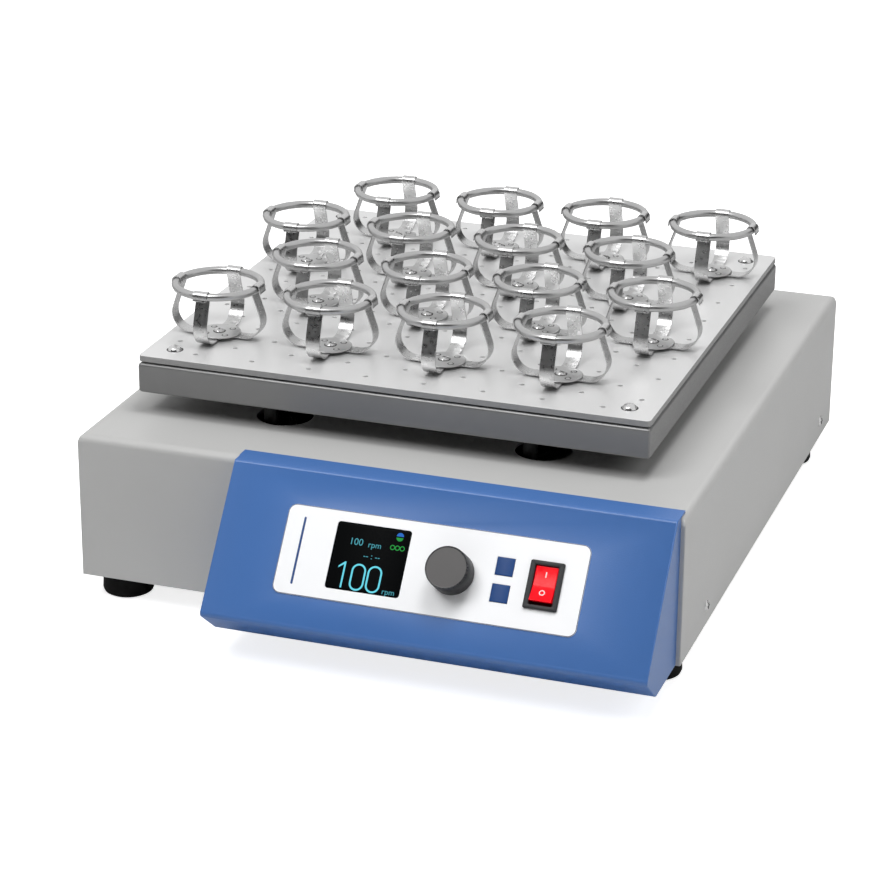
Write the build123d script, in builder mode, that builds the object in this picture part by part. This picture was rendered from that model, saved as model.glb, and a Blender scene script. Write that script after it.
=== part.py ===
"""Bench-top orbital shaker with a clamp platform. Millimetres, +Z up, -Y is the front.

The origin is on the table, in the middle of the shaker's footprint (casing and console together).
The platform stands at the front left of its orbit.
"""

from build123d import *
from math import asin, atan2, cos, hypot, pi, radians, sin
import os

os.makedirs("parts", exist_ok=True)

# Flats: pegs and the bores that they turn in, small shanks and their holes, and other rounds
peg_sides = 12
shank_sides = 4
head_sides = 8
round_sides = 16
ring_sides = 12
pulley_sides = 24
screw_sides = 6

# Casing
housing_width = 410.4
housing_depth = 446.6
housing_height = 100.0
sheet = 1.5
top_bend = 5.5
tray_floor = 2.0
tray_wall_height = 27.0
assembly_gap = 0.3

# Feet
foot_height = 18.0
foot_top_radius = 16.2
foot_radius = 17.2
foot_edge = 3.0
foot_side_inset = 22.0
foot_front_inset = 24.0
foot_rear_inset = 44.0

# Screws in the casing's sides
side_screw_head_radius = 4.0
side_screw_head_height = 1.6
side_screw_radius = 2.0
side_screw_length = 8.0
side_screw_rise = 13.3
side_screw_front_inset = 65.0
side_screw_rear_inset = 38.0

# Console
console_width = 292.5
console_side_inset = 3.0
console_sheet = 1.5
console_reach = 70.0
ledge_front = 7.7
ledge_lap = 9.9
ledge_bend = 2.0
chin_rise = 19.0
chin_depth = 24.0
chin_bend = 3.0
wiring_window_width = 50.0
wiring_window_height = 40.0

# Panel items on the sloped face: x from the console's middle, drop from the ledge's edge
overlay_width = 199.0
overlay_height = 58.2
overlay_thickness = 0.6
overlay_corner = 7.0
overlay_x = -2.6
overlay_drop = 52.2
display_width = 48.8
display_height = 43.0
display_thickness = 1.6
display_x = -43.4
display_drop = 51.8
display_module_rim = 1.0
key_size = 11.4
key_gap = 0.2
key_proud = 0.4
key_depth = 1.2
key_travel = 0.3
key_x = 44.7
key_drops = {"program_key": 43.8, "select_key": 60.9}

# Knob and encoder
knob_radius = 14.0
knob_height = 16.0
knob_edge = 0.8
knob_lift = 1.0
knob_x = 12.8
knob_drop = 53.0
knob_recess_radius = 6.0
knob_recess_depth = 3.0
knob_shaft_seat = 8.0
encoder_size = 14.0
encoder_bush_radius = 3.4
encoder_bush_proud = 2.2
encoder_shaft_radius = 2.5
encoder_shaft_end = 5.3
plunger_length = 3.2
press_travel = 0.5
press_stop_gap = 0.2

# Power switch
switch_x = 71.6
switch_drop = 52.2
bezel_width = 21.9
bezel_height = 30.8
bezel_proud = 1.8
switch_body_width = 18.6
switch_body_height = 27.5
switch_body_depth = 18.0
switch_cavity_depth = 10.0
rocker_width = 14.4
rocker_half_length = 11.6
rocker_end_gap = 1.0
rocker_side_gap = 0.3
rocker_end_height = 5.2
rocker_waist_height = 3.4
rocker_foot_half_length = 8.5
rocker_foot_depth = 5.0
rocker_pivot_depth = 2.0
rocker_pin_radius = 1.2
rocker_pin_length = 0.9
rocker_tilt = 9.0

# Control board
board_width = 130.0
board_height = 56.0
board_thickness = 1.6
board_x = -10.0
board_drop = 52.0
board_depth = 12.0
board_edge = 4.0
post_size = 5.0

# Mains inlet and power supply
inlet_side_inset = 65.2
inlet_rise = 45.0
inlet_flange_width = 50.0
inlet_flange_height = 27.0
inlet_flange_thickness = 2.0
inlet_body_width = 30.0
inlet_body_height = 22.0
inlet_body_depth = 22.0
inlet_socket_width = 25.0
inlet_socket_height = 17.0
inlet_socket_depth = 18.0
inlet_pin_length = 12.0
inlet_pin_pitch = 7.0
inlet_pin_offset = 2.0
inlet_pin_width = 2.0
inlet_pin_height = 4.0
supply_width = 90.0
supply_depth = 120.0
supply_height = 45.0
supply_step_depth = 14.0
supply_step_height = 20.0
supply_side_inset = 65.2
supply_y = 60.0

# Main drive
orbit_radius = 10.0
rest_angle = 225.0
running_fit = 0.05
stack_gap = 2.0
shaft_radius = 10.0
main_pin_radius = 8.0
web_radius = 30.0
web_thickness = 10.0
block_size = 80.0
block_base_thickness = 6.0
block_tube_radius = 25.0
block_height = 42.0
pulley_radius = 60.0
pulley_width = 14.0
weight_radius = 78.0
weight_thickness = 13.7
weight_hub_radius = 18.0

# Motor, its bracket and the belt
motor_side_inset = 80.2
motor_y = 50.0
motor_radius = 36.0
motor_height = 37.0
motor_floor_gap = 0.5
motor_boss_radius = 11.0
motor_shaft_radius = 4.0
motor_shaft_depth = 12.0
motor_pulley_radius = 15.0
bracket_sheet = 3.0
bracket_width = 90.0
belt_thickness = 2.0
belt_width = 12.0
belt_gap = 0.3

# Corner cranks
corner_x = 90.0
corner_y = 152.0
corner_shaft_radius = 5.0
corner_shaft_depth = 50.0
corner_block_size = 30.0
corner_block_height = 74.0
corner_web_width = 16.0
corner_web_thickness = 8.0
pin_hole_clearance = 4.0

# Platform
platform_gap = 15.5
tray_size = 350.6
tray_height = 20.6
tray_sheet = 2.0
tray_bend = 2.5
tray_lip = 10.0
window_side_rim = 28.0
window_end_rim = 45.0
beam_half_width = 32.0
hub_depth = 22.0
main_hub_radius = 20.0
corner_hub_radius = 11.0
pad_size = 16.0
pad_height = 1.1
plate_size = 350.0
plate_thickness = 4.0
plate_corner = 3.0
corner_screw_inset = 18.5
corner_screw_radius = 2.5
corner_screw_head_radius = 4.8
corner_screw_head_height = 2.8
corner_screw_edge = 1.2
corner_screw_crown_radius = 2.6
corner_screw_length = 9.5

# Hole grid: two square grids set half a pitch apart, with two of its holes round for bolts
hole_radius = 2.0
bolt_hole_radius = 2.1
hole_pitch = 40.0
hole_margin = 15.0
bolt_column_steps = 7
bolt_row_steps = 4

# Flask clamps
clamp_rows = 4
clamps_in_row = 4
strip_width = 10.0
strip_thickness = 0.8
clamp_reach = 32.5
clamp_bend_radius = 12.5
clamp_bend_corners = 2
ring_radius = 28.4
ring_wire_radius = 2.65
ring_height = 36.5
hook_gap = 0.2
hook_drop = 3.0
hook_corners = 2
spacer_height = 1.2
disc_radius = 14.5
disc_thickness = 1.0
clamp_screw_radius = 1.8
clamp_screw_head_radius = 3.6
clamp_screw_head_height = 2.0
clamp_screw_tail = 2.5

# Levels above the table
housing_bottom = foot_height
housing_top = housing_bottom + housing_height
floor_top = housing_bottom + tray_floor
pulley_bottom = floor_top + block_height + stack_gap
weight_bottom = pulley_bottom + pulley_width + stack_gap
web_bottom = weight_bottom + weight_thickness + assembly_gap
motor_top = floor_top + motor_height
bracket_top = motor_top + bracket_sheet
corner_block_top = floor_top + corner_block_height
corner_web_bottom = corner_block_top + assembly_gap
tray_bottom = housing_top + platform_gap
tray_top = tray_bottom + tray_height
tray_underside = tray_top - tray_sheet
pin_top = tray_underside - assembly_gap
plate_bottom = tray_top + pad_height
plate_top = plate_bottom + plate_thickness

# Places seen from above
front = (console_reach - housing_depth - inlet_flange_thickness) / 2
rear = front + housing_depth
middle_y = (front + rear) / 2
side = housing_width / 2
throw_x = orbit_radius * cos(radians(rest_angle))
throw_y = orbit_radius * sin(radians(rest_angle))
crank_y = middle_y - throw_y
platform_x = throw_x
platform_y = crank_y + throw_y
motor_x = motor_side_inset - side
motor_place = (motor_x, crank_y + motor_y)
inlet_x = side - inlet_side_inset
supply_x = side - supply_side_inset
console_x = side - console_side_inset - console_width / 2
corner_crank_places = {
    "corner_crank_front_left": (-corner_x, crank_y - corner_y),
    "corner_crank_rear_left": (-corner_x, crank_y + corner_y),
    "corner_crank_front_right": (corner_x, crank_y - corner_y),
    "corner_crank_rear_right": (corner_x, crank_y + corner_y),
}
corner_places = list(corner_crank_places.values())

# Places on the platform, from its middle
corner_screw_offset = plate_size / 2 - corner_screw_inset
corner_screw_places = [
    (x, y)
    for x in (-corner_screw_offset, corner_screw_offset)
    for y in (-corner_screw_offset, corner_screw_offset)
]
half_pitch = hole_pitch / 2
hole_steps = round((plate_size / 2 - hole_margin) / half_pitch)
bolt_places = [
    (x * half_pitch, bolt_row_steps * half_pitch)
    for x in (-bolt_column_steps, bolt_column_steps)
]
hole_places = [
    (x * half_pitch, y * half_pitch)
    for x in range(-hole_steps, hole_steps + 1)
    for y in range(-hole_steps, hole_steps + 1)
    if (x + y) % 2 == 1 and (abs(x), y) != (bolt_column_steps, bolt_row_steps)
]
clamp_places = [
    [
        (
            hole_pitch * (2 * column + row % 2 - clamps_in_row + 0.5),
            hole_pitch * (2 * row - clamp_rows + 1),
        )
        for column in range(clamps_in_row)
    ]
    for row in range(clamp_rows)
]
all_clamp_places = [place for row_places in clamp_places for place in row_places]

# The console's side profile: a ledge, a sloped face, a chin folded back under it, a level underside
ledge_top = housing_top + console_sheet
ledge_y = front - ledge_front
foot_y = front - console_reach
foot_z = housing_bottom + chin_rise
chin_y = foot_y + chin_depth
face_tilt = atan2(ledge_y - foot_y, ledge_top - foot_z)
face_up = Vector(0, sin(face_tilt), cos(face_tilt))
face_normal = Vector(0, -cos(face_tilt), sin(face_tilt))
face_plane = Plane(origin=(console_x, ledge_y, ledge_top), x_dir=(1, 0, 0), z_dir=face_normal)


def save(builder, name):
    """Label a finished piece and write it under its own name."""
    builder.part.label = name
    export_step(builder.part, f"parts/{name}.step")


def peg(radius, sides=peg_sides):
    """A round section drawn with flats, with its corners on the radius."""
    RegularPolygon(radius, sides)


def bore(radius, sides=peg_sides, mode=Mode.ADD):
    """A hole's section drawn with flats that touch the radius, so that a peg turns freely in it."""
    RegularPolygon(radius, sides, major_radius=False, mode=mode)


def panel(x, drop, height=0.0):
    """A plane on the console's sloped face, at x, this far down from the ledge, lifted off it."""
    origin = face_plane.from_local_coords(Vector(x, -drop, height))
    return Plane(origin=origin, x_dir=(1, 0, 0), z_dir=face_normal)


def console_profile(start_x, inset):
    """The console's closed side outline, drawn inwards by the inset."""
    with BuildSketch(Plane.YZ.offset(start_x)) as outline:
        with BuildLine():
            Polyline(
                (front, housing_bottom),
                (front, ledge_top),
                (ledge_y, ledge_top),
                (foot_y, foot_z),
                (chin_y, housing_bottom),
                close=True,
            )
        make_face()
        if inset:
            offset(amount=-inset, kind=Kind.INTERSECTION, mode=Mode.REPLACE)
            with Locations((front, housing_bottom + inset)):
                Rectangle(inset, ledge_top - housing_bottom - 2 * inset, align=(Align.MAX, Align.MIN))
        corners = outline.vertices().sort_by(Axis.X)
        fillet(corners[0:2], chin_bend - inset)
        ledge_corner = outline.vertices().group_by(Axis.Y)[-1].sort_by(Axis.X)[0]
        fillet(ledge_corner, ledge_bend - inset)
    return outline.sketch


def panel_openings():
    """The openings for everything that shows through the sloped face, on its plane."""
    with BuildSketch(face_plane) as openings:
        with Locations((display_x, -display_drop)):
            Rectangle(display_width + 2 * assembly_gap, display_height + 2 * assembly_gap)
        with Locations((knob_x, -knob_drop)):
            bore(encoder_bush_radius + assembly_gap)
        with Locations(*[(key_x, -drop) for drop in key_drops.values()]):
            Rectangle(key_size + 2 * key_gap, key_size + 2 * key_gap)
        with Locations((switch_x, -switch_drop)):
            Rectangle(switch_body_width + 2 * assembly_gap, switch_body_height + 2 * assembly_gap)
    return openings.sketch


def side_screw_places():
    """The side screws' places on either side wall, as (y, z) points."""
    screw_z = housing_bottom + side_screw_rise
    return [(front + side_screw_front_inset, screw_z), (rear - side_screw_rear_inset, screw_z)]


def pivot_plane(tilt=0.0):
    """A plane across the rocker's pivot, its x axis down the face, turned by the tilt."""
    turn = radians(tilt)
    pivot = panel(switch_x, switch_drop, -rocker_pivot_depth).origin
    along = face_normal * sin(turn) - face_up * cos(turn)
    return Plane(origin=pivot, x_dir=along, z_dir=(-1, 0, 0))


def platform_plane(height):
    """A level plane at this height, with its origin in the middle of the platform."""
    return Plane(origin=(platform_x, platform_y, height))


def belt_loop(spread):
    """The area inside a belt laid round both pulleys, this far off their rims."""
    belt_bottom = pulley_bottom + (pulley_width - belt_width) / 2
    with BuildSketch(Plane.XY.offset(belt_bottom)) as loop:
        with Locations((0, crank_y)):
            bore(pulley_radius + spread, pulley_sides)
        with Locations(motor_place):
            bore(motor_pulley_radius + spread, round_sides)
        make_hull()
    return loop.sketch


def bend_points(centre, radius, first_heading, last_heading, corners):
    """The corner points of a bend made of flats, for a path that turns between two headings."""
    turn = (last_heading - first_heading) / corners
    reach = radius / cos(turn / 2)
    if turn < 0:
        reach = -reach
    headings = [first_heading + turn * (step + 0.5) for step in range(corners)]
    return [(centre[0] + reach * sin(h), centre[1] - reach * cos(h)) for h in headings]


def strip_face(seat, outside):
    """One face of a clamp strip, from its first bend to its tip, as (radius, height) points."""
    hook_radius = ring_wire_radius + hook_gap + strip_thickness / 2
    bend_centre = (clamp_reach - strip_thickness / 2 - clamp_bend_radius, seat + clamp_bend_radius)
    ring_centre = (ring_radius, ring_height)
    across = ring_centre[0] - bend_centre[0]
    up = ring_centre[1] - bend_centre[1]
    lean = atan2(up, across) + asin((clamp_bend_radius + hook_radius) / hypot(across, up))
    bend = bend_points(bend_centre, clamp_bend_radius + outside, 0, lean, clamp_bend_corners)
    hook = bend_points(ring_centre, hook_radius - outside, lean, -pi / 2, hook_corners)
    tip = (ring_radius + hook_radius - outside, ring_height - hook_drop)
    return bend + hook + [tip]


def strip_outline(seat):
    """The closed side outline of a clamp strip with a hooked arm at each end."""
    under = strip_face(seat, strip_thickness / 2)
    upper = strip_face(seat, -strip_thickness / 2)
    right_arm = under + upper[::-1]
    left_arm = [(-radius, height) for radius, height in right_arm[::-1]]
    return right_arm + left_arm


# Casing cover: a folded sheet box, open below, with holes for the crank pins
with BuildPart() as housing_cover:
    with Locations((0, middle_y, housing_bottom)):
        Box(
            housing_width,
            housing_depth,
            housing_height,
            align=(Align.CENTER, Align.CENTER, Align.MIN),
        )
    fillet(housing_cover.faces().sort_by(Axis.Z)[-1].edges(), top_bend)
    offset(amount=-sheet, openings=housing_cover.faces().sort_by(Axis.Z)[0])
    with BuildSketch(Plane.XY.offset(housing_top)):
        with Locations((0, crank_y)):
            bore(orbit_radius + main_pin_radius + pin_hole_clearance, head_sides)
        with Locations(*corner_places):
            bore(orbit_radius + corner_shaft_radius + pin_hole_clearance, head_sides)
    extrude(amount=-2 * sheet, mode=Mode.SUBTRACT)
    with BuildSketch(Plane.XZ.offset(-front)):
        with Locations((console_x, housing_bottom + housing_height / 2)):
            Rectangle(wiring_window_width, wiring_window_height)
    extrude(amount=-2 * sheet, mode=Mode.SUBTRACT)
    with BuildSketch(Plane.XZ.offset(-rear)):
        with Locations((inlet_x, housing_bottom + inlet_rise)):
            Rectangle(inlet_body_width + 2 * assembly_gap, inlet_body_height + 2 * assembly_gap)
    extrude(amount=2 * sheet, mode=Mode.SUBTRACT)
    with BuildSketch(Plane.YZ.offset(-side)):
        with Locations(*side_screw_places()):
            bore(side_screw_radius + assembly_gap, shank_sides)
    extrude(amount=housing_width, mode=Mode.SUBTRACT)
save(housing_cover, "housing_cover")

# Base tray: the casing's floor, with walls that stand inside the cover
wall_gap = sheet + assembly_gap
with BuildPart() as base_tray:
    with BuildSketch(Plane.XY.offset(housing_bottom)):
        with Locations((0, middle_y)):
            Rectangle(housing_width - 2 * wall_gap, housing_depth - 2 * wall_gap)
    extrude(amount=tray_wall_height)
    offset(amount=-tray_floor, openings=base_tray.faces().sort_by(Axis.Z)[-1])
    with BuildSketch(Plane.YZ.offset(-side)):
        with Locations(*side_screw_places()):
            bore(side_screw_radius + assembly_gap, shank_sides)
    extrude(amount=housing_width, mode=Mode.SUBTRACT)
save(base_tray, "base_tray")

# Side screws: two low on each side, through the cover and the tray's wall
with BuildPart() as cover_screws:
    for direction in (-1, 1):
        wall = Plane(
            origin=(direction * side, 0, 0),
            x_dir=(0, direction, 0),
            z_dir=(direction, 0, 0),
        )
        wall_places = [(direction * y, z) for y, z in side_screw_places()]
        with BuildSketch(wall):
            with Locations(*wall_places):
                peg(side_screw_head_radius, head_sides)
        extrude(amount=side_screw_head_height)
        with BuildSketch(wall):
            with Locations(*wall_places):
                bore(side_screw_radius, shank_sides)
        extrude(amount=-side_screw_length)
save(cover_screws, "cover_screws")

# Feet: four rubber pads, widest just above a bevelled lower edge
with BuildPart() as foot:
    for height, radius in (
        (0, foot_radius - foot_edge),
        (foot_edge, foot_radius),
        (foot_height, foot_top_radius),
    ):
        with BuildSketch(Plane.XY.offset(height)):
            peg(radius)
    loft(ruled=True)
foot_places = [
    (x, y)
    for x in (foot_side_inset - side, side - foot_side_inset)
    for y in (front + foot_front_inset, rear - foot_rear_inset)
]
with BuildPart() as rubber_feet:
    with Locations(*foot_places):
        add(foot.part)
save(rubber_feet, "rubber_feet")

# Console shell: a folded sheet box with closed ends, open to the casing, its top lapped on it
console_start = console_x - console_width / 2
console_outside = console_profile(console_start, 0)
console_inside = console_profile(console_start + console_sheet, console_sheet)
face_openings = panel_openings()
with BuildPart() as console_shell:
    extrude(console_outside, amount=console_width)
    extrude(console_inside, amount=console_width - 2 * console_sheet, mode=Mode.SUBTRACT)
    with Locations((console_x, front, housing_top)):
        Box(
            console_width,
            ledge_lap,
            console_sheet,
            align=(Align.CENTER, Align.MIN, Align.MIN),
        )
    extrude(face_openings, amount=-2 * console_sheet, mode=Mode.SUBTRACT)
save(console_shell, "console_shell")

# Panel overlay: a thin printed sheet, open for everything that shows through it
with BuildPart() as panel_overlay:
    with BuildSketch(panel(overlay_x, overlay_drop)):
        RectangleRounded(overlay_width, overlay_height, overlay_corner)
    extrude(amount=overlay_thickness)
    extrude(face_openings, amount=overlay_thickness, mode=Mode.SUBTRACT)
save(panel_overlay, "panel_overlay")

# Display window: a dark pane flush with the overlay
with BuildPart() as display_window:
    with BuildSketch(panel(display_x, display_drop, overlay_thickness)):
        Rectangle(display_width, display_height)
    extrude(amount=-display_thickness)
save(display_window, "display_window")

# Keys: two square caps that sink into the overlay
key_top = overlay_thickness + key_proud
for key_name, key_drop in key_drops.items():
    with BuildPart() as key:
        with BuildSketch(panel(key_x, key_drop, key_top)):
            Rectangle(key_size, key_size)
        extrude(amount=-key_depth)
    save(key, key_name)

# Knob: a plain cap, hollow where it turns round the encoder's bush, pushed on its shaft
knob_bottom = overlay_thickness + knob_lift
with BuildPart() as control_knob:
    with BuildSketch(panel(knob_x, knob_drop, knob_bottom)):
        Circle(knob_radius)
    extrude(amount=knob_height)
    chamfer(control_knob.faces().sort_by(Axis((0, 0, 0), face_normal))[-1].edges(), knob_edge)
    with BuildSketch(panel(knob_x, knob_drop, knob_bottom)):
        bore(knob_recess_radius)
    extrude(amount=knob_recess_depth, mode=Mode.SUBTRACT)
    with BuildSketch(panel(knob_x, knob_drop, knob_bottom)):
        bore(encoder_shaft_radius + running_fit)
    extrude(amount=knob_shaft_seat, mode=Mode.SUBTRACT)
save(control_knob, "control_knob")

with BuildPart() as knob_shaft:
    with BuildSketch(panel(knob_x, knob_drop, -encoder_shaft_end)):
        peg(encoder_shaft_radius)
    extrude(amount=encoder_shaft_end + knob_bottom + knob_shaft_seat)
save(knob_shaft, "knob_shaft")

# Encoder plunger: the knob's shaft stands on it and presses it in
with BuildPart() as encoder_plunger:
    with BuildSketch(panel(knob_x, knob_drop, -encoder_shaft_end)):
        peg(encoder_shaft_radius)
    extrude(amount=-plunger_length)
save(encoder_plunger, "encoder_plunger")

# Rotary encoder: a square body on the board, with a bush through the sloped face
encoder_top = -console_sheet - assembly_gap
with BuildPart() as rotary_encoder:
    with BuildSketch(panel(knob_x, knob_drop, -board_depth)):
        Rectangle(encoder_size, encoder_size)
    extrude(amount=board_depth + encoder_top)
    with BuildSketch(panel(knob_x, knob_drop, encoder_top)):
        peg(encoder_bush_radius)
    extrude(amount=encoder_bush_proud - encoder_top)
    with BuildSketch(panel(knob_x, knob_drop, encoder_bush_proud)):
        bore(encoder_shaft_radius + running_fit)
    bore_depth = encoder_bush_proud + encoder_shaft_end + plunger_length + press_travel
    extrude(amount=-bore_depth - press_stop_gap, mode=Mode.SUBTRACT)
save(rotary_encoder, "rotary_encoder")

# Power switch: a bezel with a hollow body, and the rocker on its two pins
with BuildPart() as switch_bezel:
    with BuildSketch(panel(switch_x, switch_drop, overlay_thickness)):
        Rectangle(bezel_width, bezel_height)
    extrude(amount=bezel_proud)
    with BuildSketch(panel(switch_x, switch_drop, overlay_thickness)):
        Rectangle(switch_body_width, switch_body_height)
    extrude(amount=-switch_body_depth - overlay_thickness)
    with BuildSketch(panel(switch_x, switch_drop, overlay_thickness + bezel_proud)):
        Rectangle(
            rocker_width + 2 * rocker_side_gap,
            2 * (rocker_half_length + rocker_end_gap),
        )
    extrude(
        amount=-switch_cavity_depth - overlay_thickness - bezel_proud,
        mode=Mode.SUBTRACT,
    )
    with BuildSketch(pivot_plane()):
        bore(rocker_pin_radius + running_fit)
    extrude(
        amount=rocker_width / 2 + rocker_pin_length + assembly_gap,
        both=True,
        mode=Mode.SUBTRACT,
    )
save(switch_bezel, "switch_bezel")

with BuildPart() as switch_rocker:
    with BuildSketch(pivot_plane(rocker_tilt)):
        Polygon(
            (-rocker_half_length, rocker_end_height),
            (-rocker_foot_half_length, -rocker_foot_depth),
            (rocker_foot_half_length, -rocker_foot_depth),
            (rocker_half_length, rocker_end_height),
            (0, rocker_waist_height),
            align=None,
        )
    extrude(amount=rocker_width / 2, both=True)
    with BuildSketch(pivot_plane()):
        Circle(rocker_pin_radius)
    extrude(amount=rocker_width / 2 + rocker_pin_length, both=True)
save(switch_rocker, "switch_rocker")

# Control board on four posts, with the display's module and a post under each key
with BuildPart() as control_board:
    with BuildSketch(panel(board_x, board_drop, -board_depth)):
        Rectangle(board_width, board_height)
    extrude(amount=-board_thickness)
    with BuildSketch(panel(board_x, board_drop, -board_depth)):
        with GridLocations(board_width - 2 * board_edge, board_height - 2 * board_edge, 2, 2):
            Rectangle(post_size, post_size)
    extrude(amount=board_depth - console_sheet)
    with BuildSketch(panel(display_x, display_drop, -board_depth)):
        Rectangle(display_width - 2 * display_module_rim, display_height - 2 * display_module_rim)
    extrude(amount=board_depth + overlay_thickness - display_thickness - assembly_gap)
    for key_drop in key_drops.values():
        with BuildSketch(panel(key_x, key_drop, -board_depth)):
            Rectangle(post_size, post_size)
        extrude(amount=board_depth + key_top - key_depth - key_travel - press_stop_gap)
save(control_board, "control_board")

# Mains inlet in the rear wall: flange, body, socket and three blades
inlet_z = housing_bottom + inlet_rise
with BuildPart() as mains_inlet:
    with BuildSketch(Plane.XZ.offset(-rear)):
        with Locations((inlet_x, inlet_z)):
            Rectangle(inlet_flange_width, inlet_flange_height)
    extrude(amount=-inlet_flange_thickness)
    with BuildSketch(Plane.XZ.offset(-rear)):
        with Locations((inlet_x, inlet_z)):
            Rectangle(inlet_body_width, inlet_body_height)
    extrude(amount=inlet_body_depth)
    with BuildSketch(Plane.XZ.offset(-rear - inlet_flange_thickness)):
        with Locations((inlet_x, inlet_z)):
            Rectangle(inlet_socket_width, inlet_socket_height)
    extrude(amount=inlet_socket_depth, mode=Mode.SUBTRACT)
    with BuildSketch(Plane.XZ.offset(inlet_socket_depth - rear - inlet_flange_thickness)):
        with Locations(
            (inlet_x - inlet_pin_pitch, inlet_z - inlet_pin_offset),
            (inlet_x, inlet_z + inlet_pin_offset),
            (inlet_x + inlet_pin_pitch, inlet_z - inlet_pin_offset),
        ):
            Rectangle(inlet_pin_width, inlet_pin_height)
    extrude(amount=-inlet_pin_length)
save(mains_inlet, "mains_inlet")

# Power supply on the floor, with a step for its terminals
with BuildPart() as power_supply:
    with Locations((supply_x, crank_y + supply_y, floor_top)):
        Box(
            supply_width,
            supply_depth,
            supply_height,
            align=(Align.CENTER, Align.CENTER, Align.MIN),
        )
    with Locations((supply_x, crank_y + supply_y + supply_depth / 2, floor_top + supply_height)):
        Box(
            supply_width,
            2 * supply_step_depth,
            2 * supply_step_height,
            mode=Mode.SUBTRACT,
        )
save(power_supply, "power_supply")

# Main bearing block on the floor: a square base and a tube
with BuildPart() as main_bearing_block:
    with BuildSketch(Plane.XY.offset(floor_top)):
        with Locations((0, crank_y)):
            Rectangle(block_size, block_size)
    extrude(amount=block_base_thickness)
    with BuildSketch(Plane.XY.offset(floor_top)):
        with Locations((0, crank_y)):
            peg(block_tube_radius, round_sides)
    extrude(amount=block_height)
    with BuildSketch(Plane.XY.offset(floor_top)):
        with Locations((0, crank_y)):
            bore(shaft_radius + running_fit)
    extrude(amount=block_height, mode=Mode.SUBTRACT)
save(main_bearing_block, "main_bearing_block")

# Main crank: shaft, round web and the pin that carries the platform
with BuildPart() as main_crank:
    with BuildSketch(Plane.XY.offset(floor_top + assembly_gap)):
        with Locations((0, crank_y)):
            Circle(shaft_radius)
    extrude(amount=web_bottom - floor_top - assembly_gap)
    with BuildSketch(Plane.XY.offset(web_bottom)):
        with Locations((0, crank_y)):
            peg(web_radius, round_sides)
    extrude(amount=web_thickness)
    with BuildSketch(Plane.XY.offset(web_bottom + web_thickness)):
        with Locations((platform_x, platform_y)):
            Circle(main_pin_radius)
    extrude(amount=pin_top - web_bottom - web_thickness)
save(main_crank, "main_crank")

# Drive pulley on the main shaft
with BuildPart() as drive_pulley:
    with BuildSketch(Plane.XY.offset(pulley_bottom)):
        with Locations((0, crank_y)):
            peg(pulley_radius, pulley_sides)
            bore(shaft_radius + running_fit, mode=Mode.SUBTRACT)
    extrude(amount=pulley_width)
save(drive_pulley, "drive_pulley")

# Counterweight: a half disc with a hub, opposite the crank pin
with BuildPart() as counterweight:
    with BuildSketch(Plane.XY.offset(weight_bottom)):
        with Locations(Location((0, crank_y, 0), (0, 0, rest_angle))):
            peg(weight_radius, pulley_sides)
            Rectangle(
                2 * weight_radius,
                2 * weight_radius,
                align=(Align.MIN, Align.CENTER),
                mode=Mode.SUBTRACT,
            )
            peg(weight_hub_radius)
            bore(shaft_radius + running_fit, mode=Mode.SUBTRACT)
    extrude(amount=weight_thickness)
save(counterweight, "counterweight")

# Drive motor, hung below its bracket by a round boss
with BuildPart() as drive_motor:
    with BuildSketch(Plane.XY.offset(floor_top + motor_floor_gap)):
        with Locations(motor_place):
            peg(motor_radius, pulley_sides)
    extrude(amount=motor_height - motor_floor_gap)
    with BuildSketch(Plane.XY.offset(motor_top)):
        with Locations(motor_place):
            peg(motor_boss_radius)
    extrude(amount=bracket_sheet)
    with BuildSketch(Plane.XY.offset(bracket_top)):
        with Locations(motor_place):
            bore(motor_shaft_radius + running_fit)
    extrude(amount=-bracket_sheet - motor_shaft_depth, mode=Mode.SUBTRACT)
save(drive_motor, "drive_motor")

# Motor bracket: a folded strip that stands on the floor, over the motor
with BuildPart() as motor_bracket:
    with BuildSketch(Plane.XZ.offset(bracket_width / 2 - crank_y - motor_y)):
        with Locations((motor_x, floor_top)):
            Rectangle(bracket_width, bracket_top - floor_top, align=(Align.CENTER, Align.MIN))
            Rectangle(
                bracket_width - 2 * bracket_sheet,
                motor_height,
                align=(Align.CENTER, Align.MIN),
                mode=Mode.SUBTRACT,
            )
    extrude(amount=-bracket_width)
    with BuildSketch(Plane.XY.offset(bracket_top)):
        with Locations(motor_place):
            bore(motor_boss_radius + assembly_gap)
    extrude(amount=-bracket_sheet, mode=Mode.SUBTRACT)
save(motor_bracket, "motor_bracket")

# Motor pulley on the motor's shaft
with BuildPart() as motor_pulley:
    with BuildSketch(Plane.XY.offset(pulley_bottom)):
        with Locations(motor_place):
            peg(motor_pulley_radius, round_sides)
    extrude(amount=pulley_width)
    with BuildSketch(Plane.XY.offset(pulley_bottom)):
        with Locations(motor_place):
            Circle(motor_shaft_radius)
    extrude(amount=motor_top - motor_shaft_depth + assembly_gap - pulley_bottom)
save(motor_pulley, "motor_pulley")

# Drive belt: a flat band round both pulleys
with BuildPart() as drive_belt:
    extrude(belt_loop(belt_gap + belt_thickness), amount=belt_width)
    extrude(belt_loop(belt_gap), amount=belt_width, mode=Mode.SUBTRACT)
save(drive_belt, "drive_belt")

# Corner bearing blocks: four square posts on the floor, bored for the corner cranks
corner_bore_depth = corner_shaft_depth + assembly_gap
with BuildPart() as corner_bearing_blocks:
    with BuildSketch(Plane.XY.offset(floor_top)):
        with Locations(*corner_places):
            Rectangle(corner_block_size, corner_block_size)
    extrude(amount=corner_block_height)
    with BuildSketch(Plane.XY.offset(corner_block_top)):
        with Locations(*corner_places):
            bore(corner_shaft_radius + running_fit)
    extrude(amount=-corner_bore_depth, mode=Mode.SUBTRACT)
save(corner_bearing_blocks, "corner_bearing_blocks")

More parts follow.
